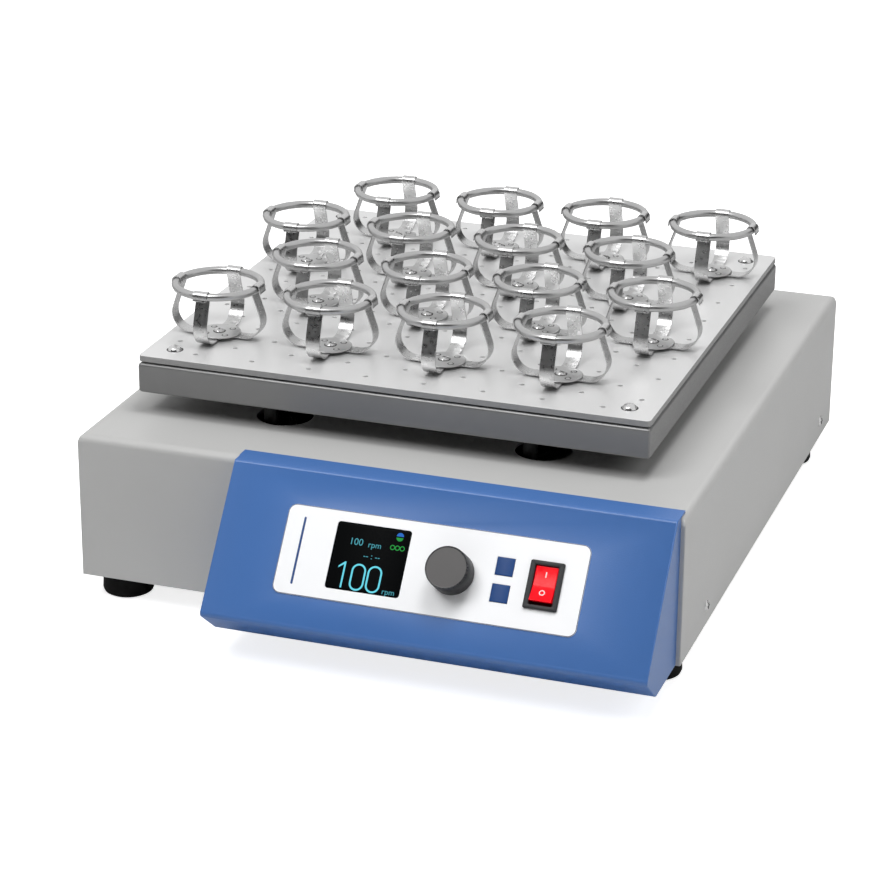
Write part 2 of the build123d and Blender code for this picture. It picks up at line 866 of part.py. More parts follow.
# Corner cranks: the same throw as the main crank, so the platform never turns
for crank_name, (crank_x, crank_place_y) in corner_crank_places.items():
    with BuildPart() as corner_crank:
        with BuildSketch(Plane.XY.offset(corner_web_bottom)):
            with Locations((crank_x, crank_place_y)):
                peg(corner_shaft_radius)
        extrude(amount=-corner_shaft_depth)
        with BuildSketch(Plane.XY.offset(corner_web_bottom)):
            with Locations(
                (crank_x, crank_place_y),
                (crank_x + throw_x, crank_place_y + throw_y),
            ):
                peg(corner_web_width / 2)
            make_hull()
        extrude(amount=corner_web_thickness)
        with BuildSketch(Plane.XY.offset(corner_web_bottom + corner_web_thickness)):
            with Locations((crank_x + throw_x, crank_place_y + throw_y)):
                peg(corner_shaft_radius)
        extrude(amount=pin_top - corner_web_bottom - corner_web_thickness)
    save(corner_crank, crank_name)

# Platform tray: a folded pan turned over, with two openings under the plate and four pads
with BuildPart() as platform_tray:
    with Locations((platform_x, platform_y, tray_bottom)):
        Box(tray_size, tray_size, tray_height, align=(Align.CENTER, Align.CENTER, Align.MIN))
    fillet(platform_tray.faces().sort_by(Axis.Z)[-1].edges(), tray_bend)
    offset(amount=-tray_sheet, openings=platform_tray.faces().sort_by(Axis.Z)[0])
    with BuildSketch(platform_plane(tray_bottom)):
        Rectangle(tray_size - tray_sheet, tray_size - tray_sheet)
        Rectangle(
            tray_size - 2 * tray_sheet - 2 * tray_lip,
            tray_size - 2 * tray_sheet - 2 * tray_lip,
            mode=Mode.SUBTRACT,
        )
    extrude(amount=tray_sheet)
    window_depth = tray_size / 2 - window_end_rim - beam_half_width
    with BuildSketch(platform_plane(tray_top)):
        with Locations(
            (0, beam_half_width + window_depth / 2),
            (0, -beam_half_width - window_depth / 2),
        ):
            Rectangle(tray_size - 2 * window_side_rim, window_depth)
    extrude(amount=-tray_sheet, mode=Mode.SUBTRACT)
    with BuildSketch(platform_plane(tray_top)):
        with Locations(*corner_screw_places):
            Rectangle(pad_size, pad_size)
    extrude(amount=pad_height)
    with BuildSketch(platform_plane(tray_underside)):
        with Locations(*corner_screw_places):
            bore(corner_screw_radius + assembly_gap, shank_sides)
    extrude(amount=tray_sheet + pad_height, mode=Mode.SUBTRACT)
save(platform_tray, "platform_tray")

# Bearing hubs under the tray: one for the main crank and one for each corner crank
hub_places = [(x, y) for x in (-corner_x, corner_x) for y in (-corner_y, corner_y)]
with BuildPart() as platform_hubs:
    with BuildSketch(platform_plane(tray_underside)):
        peg(main_hub_radius, round_sides)
        with Locations(*hub_places):
            peg(corner_hub_radius)
    extrude(amount=-hub_depth)
    with BuildSketch(platform_plane(tray_underside)):
        bore(main_pin_radius + running_fit)
        with Locations(*hub_places):
            bore(corner_shaft_radius + running_fit)
    extrude(amount=-hub_depth, mode=Mode.SUBTRACT)
save(platform_hubs, "platform_hubs")

# Platform plate: square holes for the clamps' screws, and two round ones for bolts
with BuildPart() as platform_plate:
    with BuildSketch(platform_plane(plate_bottom)):
        RectangleRounded(plate_size, plate_size, plate_corner)
        with Locations(*hole_places):
            bore(hole_radius, shank_sides, mode=Mode.SUBTRACT)
        with Locations(*bolt_places):
            Circle(bolt_hole_radius, mode=Mode.SUBTRACT)
        with Locations(*corner_screw_places):
            bore(corner_screw_radius + assembly_gap, shank_sides, mode=Mode.SUBTRACT)
    extrude(amount=plate_thickness)
save(platform_plate, "platform_plate")

# Corner screws: dome heads on the plate, shanks through the pads and the tray
with BuildPart() as corner_screw:
    with BuildSketch(Plane.XY):
        peg(corner_screw_head_radius, head_sides)
    extrude(amount=corner_screw_edge)
    with BuildSketch(Plane.XY.offset(corner_screw_edge)):
        peg(corner_screw_head_radius, head_sides)
    with BuildSketch(Plane.XY.offset(corner_screw_head_height)):
        peg(corner_screw_crown_radius, head_sides)
    loft(ruled=True)
    with BuildSketch(Plane.XY):
        bore(corner_screw_radius, shank_sides)
    extrude(amount=-corner_screw_length)
with BuildPart(platform_plane(plate_top)) as platform_screws:
    with Locations(*corner_screw_places):
        add(corner_screw.part)
save(platform_screws, "platform_screws")

# Flask clamp: a cross of two strips with hooked arms under a disc, fused with its screw
seat = spacer_height + strip_thickness / 2
disc_bottom = seat + strip_thickness / 2
clamp_top = disc_bottom + disc_thickness
with BuildPart() as clamp:
    with BuildSketch(Plane.XY):
        Rectangle(strip_width, strip_width)
    extrude(amount=spacer_height)
    for strip_plane in (Plane.XZ, Plane.YZ):
        with BuildSketch(strip_plane):
            Polygon(*strip_outline(seat), align=None)
        extrude(amount=strip_width / 2, both=True)
    with BuildSketch(Plane.XY.offset(disc_bottom)):
        peg(disc_radius)
    extrude(amount=disc_thickness)
    with BuildSketch(Plane.XY.offset(clamp_top)):
        peg(clamp_screw_head_radius, screw_sides)
    extrude(amount=clamp_screw_head_height)
    with BuildSketch(Plane.XY):
        bore(clamp_screw_radius, shank_sides)
    extrude(amount=-plate_thickness - clamp_screw_tail)
for number, place in enumerate(all_clamp_places, start=1):
    with BuildPart(platform_plane(plate_top)) as flask_clamp:
        with Locations(place):
            add(clamp.part)
    save(flask_clamp, f"flask_clamp_{number:02d}")

# Spring rings: one ring held in each clamp's four hooks, a node for each row
ring_flat = ring_wire_radius * sin(radians(45))
ring_turn = 180 / ring_sides
with BuildPart() as spring_ring:
    with BuildSketch(Plane.XY.offset(ring_height)):
        RegularPolygon(
            ring_radius + ring_flat,
            ring_sides,
            major_radius=False,
            rotation=ring_turn,
        )
        RegularPolygon(
            ring_radius - ring_flat,
            ring_sides,
            major_radius=False,
            rotation=ring_turn,
            mode=Mode.SUBTRACT,
        )
    extrude(amount=ring_flat, both=True)
for number, row_places in enumerate(clamp_places, start=1):
    with BuildPart(platform_plane(plate_top)) as ring_row:
        with Locations(*row_places):
            add(spring_ring.part)
    save(ring_row, f"spring_rings_row_{number}")
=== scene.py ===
"""Looks of a bench-top orbital shaker with sixteen flask clamps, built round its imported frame.

Pieces are modelled in millimetres in the frame's axes and scaled to metres as they are settled.
"""

from contextlib import contextmanager
from math import asin, atan2, cos, hypot, pi, radians, sin, tan

import bmesh
import bpy
from bpy.props import FloatProperty, FloatVectorProperty, IntProperty, PointerProperty
from mathutils import Matrix, Vector


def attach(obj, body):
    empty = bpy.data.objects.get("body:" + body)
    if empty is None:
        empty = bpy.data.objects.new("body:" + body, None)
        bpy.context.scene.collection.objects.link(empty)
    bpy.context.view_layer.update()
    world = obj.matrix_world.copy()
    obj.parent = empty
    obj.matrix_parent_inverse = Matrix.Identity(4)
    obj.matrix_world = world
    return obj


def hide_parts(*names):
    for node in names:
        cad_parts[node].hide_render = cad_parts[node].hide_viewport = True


bl_info = {
    "name": "Orbital shaker",
    "version": (1, 0, 0),
    "blender": (4, 5, 0),
    "location": "3D View > Sidebar > Shaker",
    "description": "Models and finishes a bench-top orbital shaker round its frame",
    "category": "Object",
}

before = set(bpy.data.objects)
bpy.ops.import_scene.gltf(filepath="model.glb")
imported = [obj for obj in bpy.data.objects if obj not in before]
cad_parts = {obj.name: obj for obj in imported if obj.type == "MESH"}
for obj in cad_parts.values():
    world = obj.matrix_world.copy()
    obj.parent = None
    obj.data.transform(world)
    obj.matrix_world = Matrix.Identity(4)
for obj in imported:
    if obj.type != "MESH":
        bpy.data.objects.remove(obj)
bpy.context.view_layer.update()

METRE = 1000.0  # millimetres
MERGE = 0.0005  # millimetres within which two corners are one
CLAMP_ROWS = 4
CLAMPS_IN_ROW = 4
NOISE_LOW, NOISE_HIGH = 0.3, 0.7  # most of a noise lies between these
MIX_FACTOR, MIX_FIRST, MIX_SECOND, MIX_RESULT = 0, 6, 7, 2  # a Mix node's colour sockets
WHITE = (1.0, 1.0, 1.0, 1.0)


# Property helpers


def length(label, note, millimetres):
    """A size in metres, with its default given in millimetres."""
    return FloatProperty(
        name=label,
        description=note,
        default=millimetres / METRE,
        unit="LENGTH",
        subtype="DISTANCE",
        precision=4,
    )


def rotation(label, note, angle):
    """An angle, with its default in radians."""
    return FloatProperty(
        name=label, description=note, default=angle, subtype="ANGLE", unit="ROTATION"
    )


def wattage(label, note, watts):
    """A lamp's power."""
    return FloatProperty(name=label, description=note, default=watts, min=0.0, unit="POWER")


def linear(code):
    """A colour written as six hex digits of screen colour, as linear red, green and blue."""
    levels = [int(code[i : i + 2], 16) / 255 for i in (0, 2, 4)]
    return tuple(v / 12.92 if v <= 0.04045 else ((v + 0.055) / 1.055) ** 2.4 for v in levels)


def tint(label, note, code):
    """A surface colour, with its default given as six hex digits."""
    return FloatVectorProperty(
        name=label,
        description=note,
        default=linear(code),
        min=0.0,
        max=1.0,
        size=3,
        subtype="COLOR",
    )


class CasingSizes(bpy.types.PropertyGroup):
    """Sizes of the folded casing and what is fixed to it."""

    width: length("Width", "Width of the casing", 410.4)
    front: length("Front", "Place of the front wall along Y", -189.3)
    rear: length("Rear", "Place of the rear wall along Y", 257.3)
    bottom: length("Bottom", "Lower edge above the table", 18.0)
    top: length("Top", "Top face above the table", 118.0)
    sheet: length("Sheet", "Thickness of the sheet", 1.5)
    bend: length("Top bend", "Outer radius of the bends round the top", 5.5)
    foot_radius: length("Foot radius", "Widest radius of a rubber foot", 17.2)
    screw_radius: length("Screw radius", "Radius of the side screws' heads", 4.0)


class ConsoleSizes(bpy.types.PropertyGroup):
    """Sizes of the sloped console and the items on its face."""

    centre: length("Centre", "Middle of the console along X", 55.95)
    width: length("Width", "Width of the console", 292.5)
    ledge_y: length("Ledge front", "Where the ledge meets the sloped face", -197.0)
    ledge_z: length("Ledge top", "Top of the ledge above the table", 119.5)
    foot_y: length("Foot place", "Lower edge of the sloped face along Y", -259.3)
    foot_z: length("Foot height", "Lower edge of the sloped face above the table", 37.0)
    chin_y: length("Chin place", "Where the chin meets the underside along Y", -235.3)
    chin_bend: length("Chin bend", "Radius of the bends at both edges of the chin", 3.0)
    ledge_bend: length("Ledge bend", "Radius of the bend under the ledge", 2.0)
    lap: length("Ledge lap", "How far the ledge laps on the casing", 9.9)
    sheet: length("Sheet", "Thickness of the sheet", 1.5)
    knob_radius: length("Knob radius", "Radius of the control knob", 14.0)
    knob_height: length("Knob height", "Height of the control knob", 16.0)
    key_size: length("Key size", "Side of a square key", 11.4)


class PlatformSizes(bpy.types.PropertyGroup):
    """Sizes of the platform tray, its plate and the hole grid."""

    centre_x: length("Centre X", "Middle of the platform along X", -7.0711)
    centre_y: length("Centre Y", "Middle of the platform along Y", 34.0)
    tray_size: length("Tray size", "Side of the square tray", 350.6)
    tray_bottom: length("Tray bottom", "Lower edge of the tray above the table", 133.5)
    tray_top: length("Tray top", "Top of the tray above the table", 154.1)
    tray_sheet: length("Tray sheet", "Thickness of the tray's sheet", 2.0)
    tray_bend: length("Tray bend", "Outer radius of the tray's top bends", 2.5)
    lip: length("Lip", "Depth of the lips under the tray", 10.0)
    plate_size: length("Plate size", "Side of the square plate", 350.0)
    plate_bottom: length("Plate bottom", "Underside of the plate above the table", 155.2)
    plate_thickness: length("Plate thickness", "Thickness of the plate", 4.0)
    hole_radius: length("Hole radius", "Radius of a grid hole", 1.7)
    half_pitch: length("Half pitch", "Half the pitch of the hole grids", 20.0)
    hole_steps: IntProperty(
        name="Hole steps",
        description="Half pitches from the middle to the outermost holes",
        default=8,
    )
    screw_offset: length("Screw offset", "Corner screws from the middle", 156.5)
    screw_radius: length("Screw radius", "Radius of the corner screws' heads", 4.8)
    screw_height: length("Screw height", "Height of the corner screws' heads", 2.8)


class ClampSizes(bpy.types.PropertyGroup):
    """Sizes of a flask clamp and its spring ring."""

    width: length("Strip width", "Width of a strip", 9.8)
    thickness: length("Strip thickness", "Thickness of a strip", 0.8)
    seat: length("Seat", "Middle of the strips above the plate", 1.6)
    reach: length("Reach", "Outermost point of a strip from the middle", 32.5)
    bend: length("Bend radius", "Radius of a strip's lower bend", 12.5)
    ring: length("Ring radius", "Radius of the spring ring", 28.4)
    ring_height: length("Ring height", "Height of the ring above the plate", 36.5)
    wire: length("Coil radius", "Outer radius of the spring's coils", 2.65)
    hook_gap: length("Hook gap", "Gap between the ring and a hook", 0.1)
    hook_drop: length("Hook drop", "Straight part of a hook below the ring's middle", 1.2)
    flare: length("Flare radius", "Radius at which a hook's tip turns out", 2.5)
    disc: length("Disc radius", "Radius of the clamp's disc", 14.5)
    disc_thickness: length("Disc thickness", "Thickness of the clamp's disc", 1.0)
    screw_radius: length("Screw radius", "Radius of the middle screw's head", 3.6)


class ShakerColours(bpy.types.PropertyGroup):
    """Colours of the finishes."""

    coat: tint("Casing coat", "Grey coating of the casing", "BDBDBC")
    blue: tint("Console coat", "Blue coating of the console", "426EAE")
    film: tint("Panel film", "White printed film", "F6F7F9")
    ink: tint("Ink", "Navy print and keys", "27487F")
    pane: tint("Pane", "Dark display pane", "020304")
    glow: tint("Display figures", "Lit figures on the display", "6FDDF0")
    knob: tint("Knob face", "Face of the knob", "464444")
    black: tint("Black plastic", "Bezel and other black parts", "2C2D2F")
    red: tint("Rocker", "Red rocker of the switch", "F00A1C")
    plate: tint("Plate", "Satin plate of the platform", "E2E2E2")
    edge: tint("Plate edge", "Cut edge of the plate", "9C9C9C")
    tray: tint("Tray", "Steel of the platform tray", "848484")
    strip: tint("Clamp strip", "Bright steel of the clamps", "C4C4C4")
    coil: tint("Spring coil", "Steel of the spring rings", "B8B8B8")
    rubber: tint("Rubber", "Rubber of the feet", "0C0C0C")


class StageSettings(bpy.types.PropertyGroup):
    """Camera and light of the studio."""

    azimuth: rotation("Azimuth", "Turn of the camera round the object", 0.3282)
    elevation: rotation("Elevation", "Height of the camera above the horizon", 0.3846)
    roll: rotation("Roll", "Turn of the camera about its own axis", 0.0075)
    distance: length("Distance", "From the camera to its target", 2015.6)
    target: FloatVectorProperty(
        name="Target",
        description="The point that the camera looks at",
        default=(-0.01365, -0.0010, 0.06387),
        size=3,
        subtype="TRANSLATION",
        unit="LENGTH",
    )
    lens: FloatProperty(
        name="Lens",
        description="Focal length of the lens in millimetres",
        default=116.29,
    )
    overhead: wattage("Overhead light", "Power of the soft light above", 28.0)
    front: wattage("Front light", "Power of the soft light in front", 31.0)
    side: wattage("Side light", "Power of the soft light at the side", 17.0)
    surround: FloatProperty(
        name="Surround",
        description="Strength of the light from all round",
        default=0.12,
        min=0.0,
    )


# Shader graphs


class Signal:
    """A node's output, with the arithmetic that finishes are written in."""

    def __init__(self, graph, socket):
        self.graph = graph
        self.socket = socket

    def math(self, operation, *values):
        """A Math node on these values."""
        return self.graph.add("ShaderNodeMath", {"operation": operation}, dict(enumerate(values)))

    def __add__(self, other):
        return self.math("ADD", self, other)

    __radd__ = __add__

    def __mul__(self, other):
        return self.math("MULTIPLY", self, other)

    __rmul__ = __mul__


class Graph:
    """The nodes of a new material, or of a new world, all added by one method."""

    def __init__(self, name, world=False):
        self.owner = (bpy.data.worlds if world else bpy.data.materials).new(name)
        self.owner.use_nodes = True
        self.tree = self.owner.node_tree
        self.tree.nodes.clear()

    def add(self, kind, settings=None, inputs=None, output=0):
        """A node of this kind: its settings first, then its sockets' values or links."""
        node = self.tree.nodes.new(kind)
        for key, value in (settings or {}).items():
            setattr(node, key, value)
        for key, value in (inputs or {}).items():
            if isinstance(value, Signal):
                self.tree.links.new(value.socket, node.inputs[key])
            else:
                node.inputs[key].default_value = value
        return Signal(self, node.outputs[output]) if node.outputs else None

    def place(self):
        """The piece's own coordinates, in metres."""
        return self.add("ShaderNodeTexCoord", output="Object")

    def stretched(self, x, y, z):
        """The piece's coordinates, stretched along each axis."""
        return self.add("ShaderNodeMapping", {}, {"Vector": self.place(), "Scale": (x, y, z)})

    def noise(self, scale, detail=2.0, vector=None):
        """Soft noise with this many features in a metre."""
        inputs = {"Vector": vector or self.place(), "Scale": scale, "Detail": detail}
        return self.add("ShaderNodeTexNoise", {}, inputs, "Fac")

    def ramp(self, value, low, high, start=0.0, end=1.0):
        """The value spread between two levels."""
        inputs = {"Value": value, "From Min": start, "From Max": end, "To Min": low, "To Max": high}
        return self.add("ShaderNodeMapRange", {}, inputs, "Result")

    def skin(self, noise, low, high):
        """A roughness that wanders between two levels with a noise."""
        return self.ramp(noise, low, high, NOISE_LOW, NOISE_HIGH)

    def mix(self, factor, first, second):
        """Two colours mixed by a factor."""
        inputs = {MIX_FACTOR: factor, MIX_FIRST: first, MIX_SECOND: second}
        return self.add("ShaderNodeMix", {"data_type": "RGBA"}, inputs, MIX_RESULT)

    def tinged(self, factor, colour, low, high):
        """A colour between two of its own shades."""
        return self.mix(factor, shade(colour, low), shade(colour, high))

    def bump(self, height, strength, distance):
        """A normal that follows a height."""
        inputs = {"Height": height, "Strength": strength, "Distance": distance}
        return self.add("ShaderNodeBump", {}, inputs, "Normal")

    def finish(self, colour, roughness, **constants):
        """The material, with a Principled surface of these values."""
        inputs = {"Base Color": colour, "Roughness": roughness}
        inputs.update({key.replace("_", " "): value for key, value in constants.items()})
        surface = self.add("ShaderNodeBsdfPrincipled", {}, inputs, "BSDF")
        self.add("ShaderNodeOutputMaterial", {}, {"Surface": surface})
        return self.owner


def shade(colour, level=1.0):
    """A colour made lighter or darker, with its alpha."""
    return tuple(min(1.0, channel * level) for channel in colour) + (1.0,)


def coated_sheet(name, colour, roughness=0.42, specular=0.4):
    """Baked coating on sheet: fine orange peel and a little unevenness."""
    graph = Graph(name)
    peel = graph.noise(1400.0, detail=3.0)
    body = graph.tinged(graph.noise(14.0), colour, 0.97, 1.03)
    skin = graph.skin(peel, roughness - 0.05, roughness + 0.07)
    normal = graph.bump(peel, strength=0.16, distance=0.00035)
    return graph.finish(body, skin, Normal=normal, Specular_IOR_Level=specular)


def rolled_metal(name, colour, roughness, grain=(3.0, 420.0, 60.0), depth=0.05, metallic=1.0):
    """Rolled or brushed metal: its grain is coarse along the axis that is stretched least."""
    graph = Graph(name)
    lines = graph.noise(5.0, 4.0, graph.stretched(*grain))
    cloud = graph.noise(22.0)
    body = graph.tinged(lines * 0.5 + cloud * 0.5, colour, 0.92, 1.06)
    skin = graph.skin(lines, roughness - 0.06, roughness + 0.08)
    normal = graph.bump(lines, depth, distance=0.0002)
    return graph.finish(body, skin, Metallic=metallic, Normal=normal)


def bright_strip(name, colour):
    """Spring strip: bright, with the mottled bloom of cold rolling."""
    graph = Graph(name)
    bloom = graph.noise(420.0, detail=3.0)
    wave = graph.noise(110.0, detail=1.0)
    body = graph.tinged(bloom, colour, 0.9, 1.0)
    normal = graph.bump(wave, strength=0.1, distance=0.0004)
    return graph.finish(body, graph.skin(bloom, 0.25, 0.34), Metallic=1.0, Normal=normal)


def turned_disc(name, colour):
    """Punched disc with a fine even scratch."""
    graph = Graph(name)
    scratch = graph.noise(700.0, detail=4.0)
    body = graph.tinged(scratch, colour, 0.86, 1.04)
    normal = graph.bump(scratch, strength=0.1, distance=0.0002)
    return graph.finish(body, graph.skin(scratch, 0.30, 0.44), Metallic=1.0, Normal=normal)


def spring_coil(name, colour, turns):
    """Close-wound spring: its turns run round the ring with the piece's own map, and the colour is
    painted darker in the grooves between turns as shade.
    """
    graph = Graph(name)
    around = graph.add("ShaderNodeUVMap", {"uv_map": "coil"})
    split = graph.add("ShaderNodeSeparateXYZ", {}, {0: around}, "X")
    lean = graph.add("ShaderNodeSeparateXYZ", {}, {0: around}, "Y")
    phase = (split * turns + lean) * (2 * pi)
    height = phase.math("SINE", phase) * 0.5 + 0.5
    cloud = graph.noise(60.0)
    # painted shade: the colour darkens where the coil's height falls, in the grooves between turns
    body = graph.tinged(height * 0.5 + cloud * 0.5, colour, 0.8, 1.06)
    normal = graph.bump(height, strength=0.2, distance=0.00006)
    return graph.finish(body, graph.ramp(cloud, 0.26, 0.34), Metallic=1.0, Normal=normal)


def moulded(name, colour, roughness, scale=2200.0, depth=0.12, **constants):
    """Moulded plastic or rubber with a fine even grain."""
    graph = Graph(name)
    grain = graph.noise(scale)
    body = graph.tinged(graph.noise(40.0), colour, 0.9, 1.1)
    skin = graph.skin(grain, roughness - 0.05, roughness + 0.06)
    normal = graph.bump(grain, depth, distance=0.0001)
    return graph.finish(body, skin, Normal=normal, **constants)


def printed_film(name, colour, roughness=0.32, specular=0.5):
    """Printed polyester film: an even colour under a faint matt tooth."""
    graph = Graph(name)
    tooth = graph.noise(3200.0)
    body = graph.tinged(graph.noise(30.0, detail=1.0), colour, 0.985, 1.01)
    skin = graph.skin(tooth, roughness - 0.04, roughness + 0.05)
    normal = graph.bump(tooth, strength=0.04, distance=0.00005)
    return graph.finish(body, skin, Normal=normal, Specular_IOR_Level=specular)


def lit_figures(name, colour, level=1.0):
    """Figures that glow on the display, at a share of their colour's full light."""
    graph = Graph(name)
    colour = shade(colour, level)[:3]
    glow = graph.tinged(graph.noise(5000.0, detail=1.0), colour, 0.86, 1.0)
    return graph.finish(
        shade(colour, 0.05),
        0.5,
        Specular_IOR_Level=0.02,
        Emission_Color=glow,
        Emission_Strength=1.0,
    )


def dyed_rocker(name, colour):
    """Clear red plastic, deep in colour, with a polished skin and a faint painted glow in its own
    colour that brightens the red.
    """
    graph = Graph(name)
    depth = graph.noise(260.0, detail=3.0)
    body = graph.tinged(depth, colour, 0.82, 1.08)
    return graph.finish(
        body,
        graph.skin(depth, 0.12, 0.26),
        Normal=graph.bump(depth, strength=0.08, distance=0.0003),
        Specular_IOR_Level=0.12,
        Coat_Weight=0.06,
        Coat_Roughness=0.08,
        # painted glow: the red glows faintly in its own colour to brighten it
        Emission_Color=body,
        Emission_Strength=0.22,
    )


def circuit_board(name, colour):
    """A lacquered board with paler tracks."""
    graph = Graph(name)
    bricks = {
        "Vector": graph.place(),
        "Scale": 160.0,
        "Color1": shade(colour),
        "Color2": (0.015, 0.13, 0.05, 1.0),
        "Mortar": (0.05, 0.30, 0.10, 1.0),
        "Mortar Size": 0.03,
    }
    return graph.finish(graph.add("ShaderNodeTexBrick", {}, bricks, "Color"), 0.4)


def recipe(maker, colour, **values):
    """How a finish is made: the function, its tint or other colour, and the other values."""
    return maker, colour, values


RECIPES = {
    "grey coat": recipe(coated_sheet, "coat"),
    "blue coat": recipe(coated_sheet, "blue", roughness=0.34, specular=0.6),
    "panel film": recipe(printed_film, "film"),
    "navy ink": recipe(printed_film, "ink", roughness=0.36, specular=0.18),
    "outline ink": recipe(printed_film, "4A5468", roughness=0.30),
    "white mark": recipe(printed_film, "F6E9E9", roughness=0.35),
    "lit figures": recipe(lit_figures, "glow"),
    "lit small": recipe(lit_figures, "glow", level=0.5),
    "lit green": recipe(lit_figures, "2E9A46"),
    "lit blue": recipe(lit_figures, "2F6FC8"),
    "dark pane": recipe(
        moulded, "pane", roughness=0.4, scale=900.0, depth=0.02, Specular_IOR_Level=0.03
    ),
    "knob face": recipe(moulded, "knob", roughness=0.42, scale=2600.0, depth=0.10),
    "knob side": recipe(
        moulded, "151517", roughness=0.4, scale=700.0, depth=0.04, Specular_IOR_Level=0.25
    ),
    "knob rim": recipe(moulded, "242426", roughness=0.28, scale=900.0, depth=0.04),
    "black plastic": recipe(moulded, "black", roughness=0.46, Specular_IOR_Level=0.3),
    "foot rubber": recipe(
        moulded, "rubber", roughness=0.7, scale=1300.0, depth=0.2, Specular_IOR_Level=0.15
    ),
    # painted shade: the dark seats and recesses round screw and rivet heads
    "hole shade": recipe(moulded, "2A2A2A", roughness=0.6),
    "drilled wall": recipe(moulded, "E4E4E4", roughness=0.6),
    "cast iron": recipe(
        moulded, "4C4C4C", roughness=0.55, scale=600.0, depth=0.5, Metallic=0.6
    ),
    "motor black": recipe(moulded, "202225", roughness=0.45, scale=900.0, depth=0.3),
    "belt rubber": recipe(moulded, "1A1A1A", roughness=0.6, scale=1500.0, depth=0.3),
    "red rocker": recipe(dyed_rocker, "red"),
    "bright strip": recipe(bright_strip, "strip"),
    "clamp disc": recipe(turned_disc, "C2C2C2"),
    "spring coil": recipe(spring_coil, "coil", turns=330.0),
    "satin plate": recipe(
        rolled_metal, "plate", roughness=0.46, grain=(4.0, 300.0, 60.0), depth=0.03, metallic=0.55
    ),
    "plate edge": recipe(
        rolled_metal, "edge", roughness=0.5, grain=(60.0, 60.0, 300.0), depth=0.03, metallic=0.4
    ),
    "tray steel": recipe(
        rolled_metal, "tray", roughness=0.40, grain=(3.0, 60.0, 420.0), depth=0.04, metallic=0.6
    ),
    "screw steel": recipe(
        rolled_metal, "CDCDCD", roughness=0.24, grain=(90.0, 90.0, 90.0), depth=0.01
    ),
    "turned steel": recipe(rolled_metal, "BEBEBE", roughness=0.28, grain=(60.0, 60.0, 500.0)),
    "oiled steel": recipe(rolled_metal, "3C3C3C", roughness=0.42, grain=(60.0, 60.0, 500.0)),
    "milled aluminium": recipe(rolled_metal, "CFCFCF", roughness=0.36),
    "circuit board": recipe(circuit_board, (0.01, 0.10, 0.04)),
}
FINISHES = {}


def finish(name):
    """The finish of this name, made when it is first used."""
    if name not in FINISHES:
        maker, colour, values = RECIPES[name]
        tints = bpy.context.scene.shaker_colours
        if isinstance(colour, str):
            colour = getattr(tints, colour) if hasattr(tints, colour) else linear(colour)
        FINISHES[name] = maker(name, colour, **values)
    return FINISHES[name]


# Modelling helpers


def mm(value):
    """A size in metres, in millimetres."""
    return value * METRE


def at(x=0.0, y=0.0, z=0.0):
    """A move to this place."""
    return Matrix.Translation((x, y, z))


def turned(angle, axis):
    """A turn about an axis."""
    return Matrix.Rotation(angle, 4, axis)


def upended(start, across, up):
    """A turn that stands the XY plane up: X goes to the first axis, Y to the second."""
    columns = [Vector(across), Vector(up)]
    columns.append(columns[0].cross(columns[1]))
    matrix = Matrix(columns).transposed().to_4x4()
    matrix.translation = start
    return matrix


@contextmanager
def placed(bm, matrix):
    """What is modelled inside the block is moved by the matrix."""
    before = set(bm.verts)
    yield
    bmesh.ops.transform(bm, matrix=matrix, verts=[v for v in bm.verts if v not in before])


@contextmanager
def painted(bm, index):
    """What is modelled inside the block takes the piece's finish of this number."""
    before = set(bm.faces)
    yield
    for face in bm.faces:
        if face not in before:
            face.material_index = index


def prism(bm, outline, depth):
    """A closed outline in the XY plane, extruded along Z."""
    face = bm.faces.new([bm.verts.new((x, y, 0.0)) for x, y in outline])
    raised = bmesh.ops.extrude_face_region(bm, geom=[face])["geom"]
    corners = [item for item in raised if isinstance(item, bmesh.types.BMVert)]
    bmesh.ops.translate(bm, vec=(0.0, 0.0, depth), verts=corners)


def lathe(bm, profile, steps=48):
    """A profile of (radius, height) points spun right round Z."""
    line = [bm.verts.new((radius, 0.0, height)) for radius, height in profile]
    edges = [bm.edges.new(pair) for pair in zip(line, line[1:])]
    bmesh.ops.spin(
        bm,
        geom=line + edges,
        cent=(0.0, 0.0, 0.0),
        axis=(0.0, 0.0, 1.0),
        angle=2 * pi,
        steps=steps,
        use_merge=True,
    )


def box(bm, width, depth, height, centre):
    """A box with its middle at the centre."""
    matrix = at(*centre) @ Matrix.Diagonal((width, depth, height, 1.0))
    bmesh.ops.create_cube(bm, size=1.0, matrix=matrix)


def rectangle(width, height, x=0.0, y=0.0, radius=0.0, steps=6):
    """The outline of a rectangle about a point, its corners rounded if a radius is given."""
    if not radius:
        corners = ((-1, -1), (1, -1), (1, 1), (-1, 1))
        return [(x + a * width / 2, y + b * height / 2) for a, b in corners]
    points = []
    for quarter, (a, b) in enumerate(((1, 1), (-1, 1), (-1, -1), (1, -1))):
        for step in range(steps + 1):
            turn = (quarter + step / steps) * pi / 2
            points.append(
                (
                    x + a * (width / 2 - radius) + radius * cos(turn),
                    y + b * (height / 2 - radius) + radius * sin(turn),
                )
            )
    return points


def circle(x, y, radius, steps=24):
    """The outline of a circle about a point."""
    return [
        (x + radius * cos(2 * pi * i / steps), y + radius * sin(2 * pi * i / steps))
        for i in range(steps)
    ]


def rounded_ring(width, height, radius, insets, steps=6):
    """The two outlines of a rounded frame, each drawn in by its inset."""
    return [
        rectangle(width - 2 * inset, height - 2 * inset, 0.0, 0.0, radius - inset, steps)
        for inset in insets
    ]


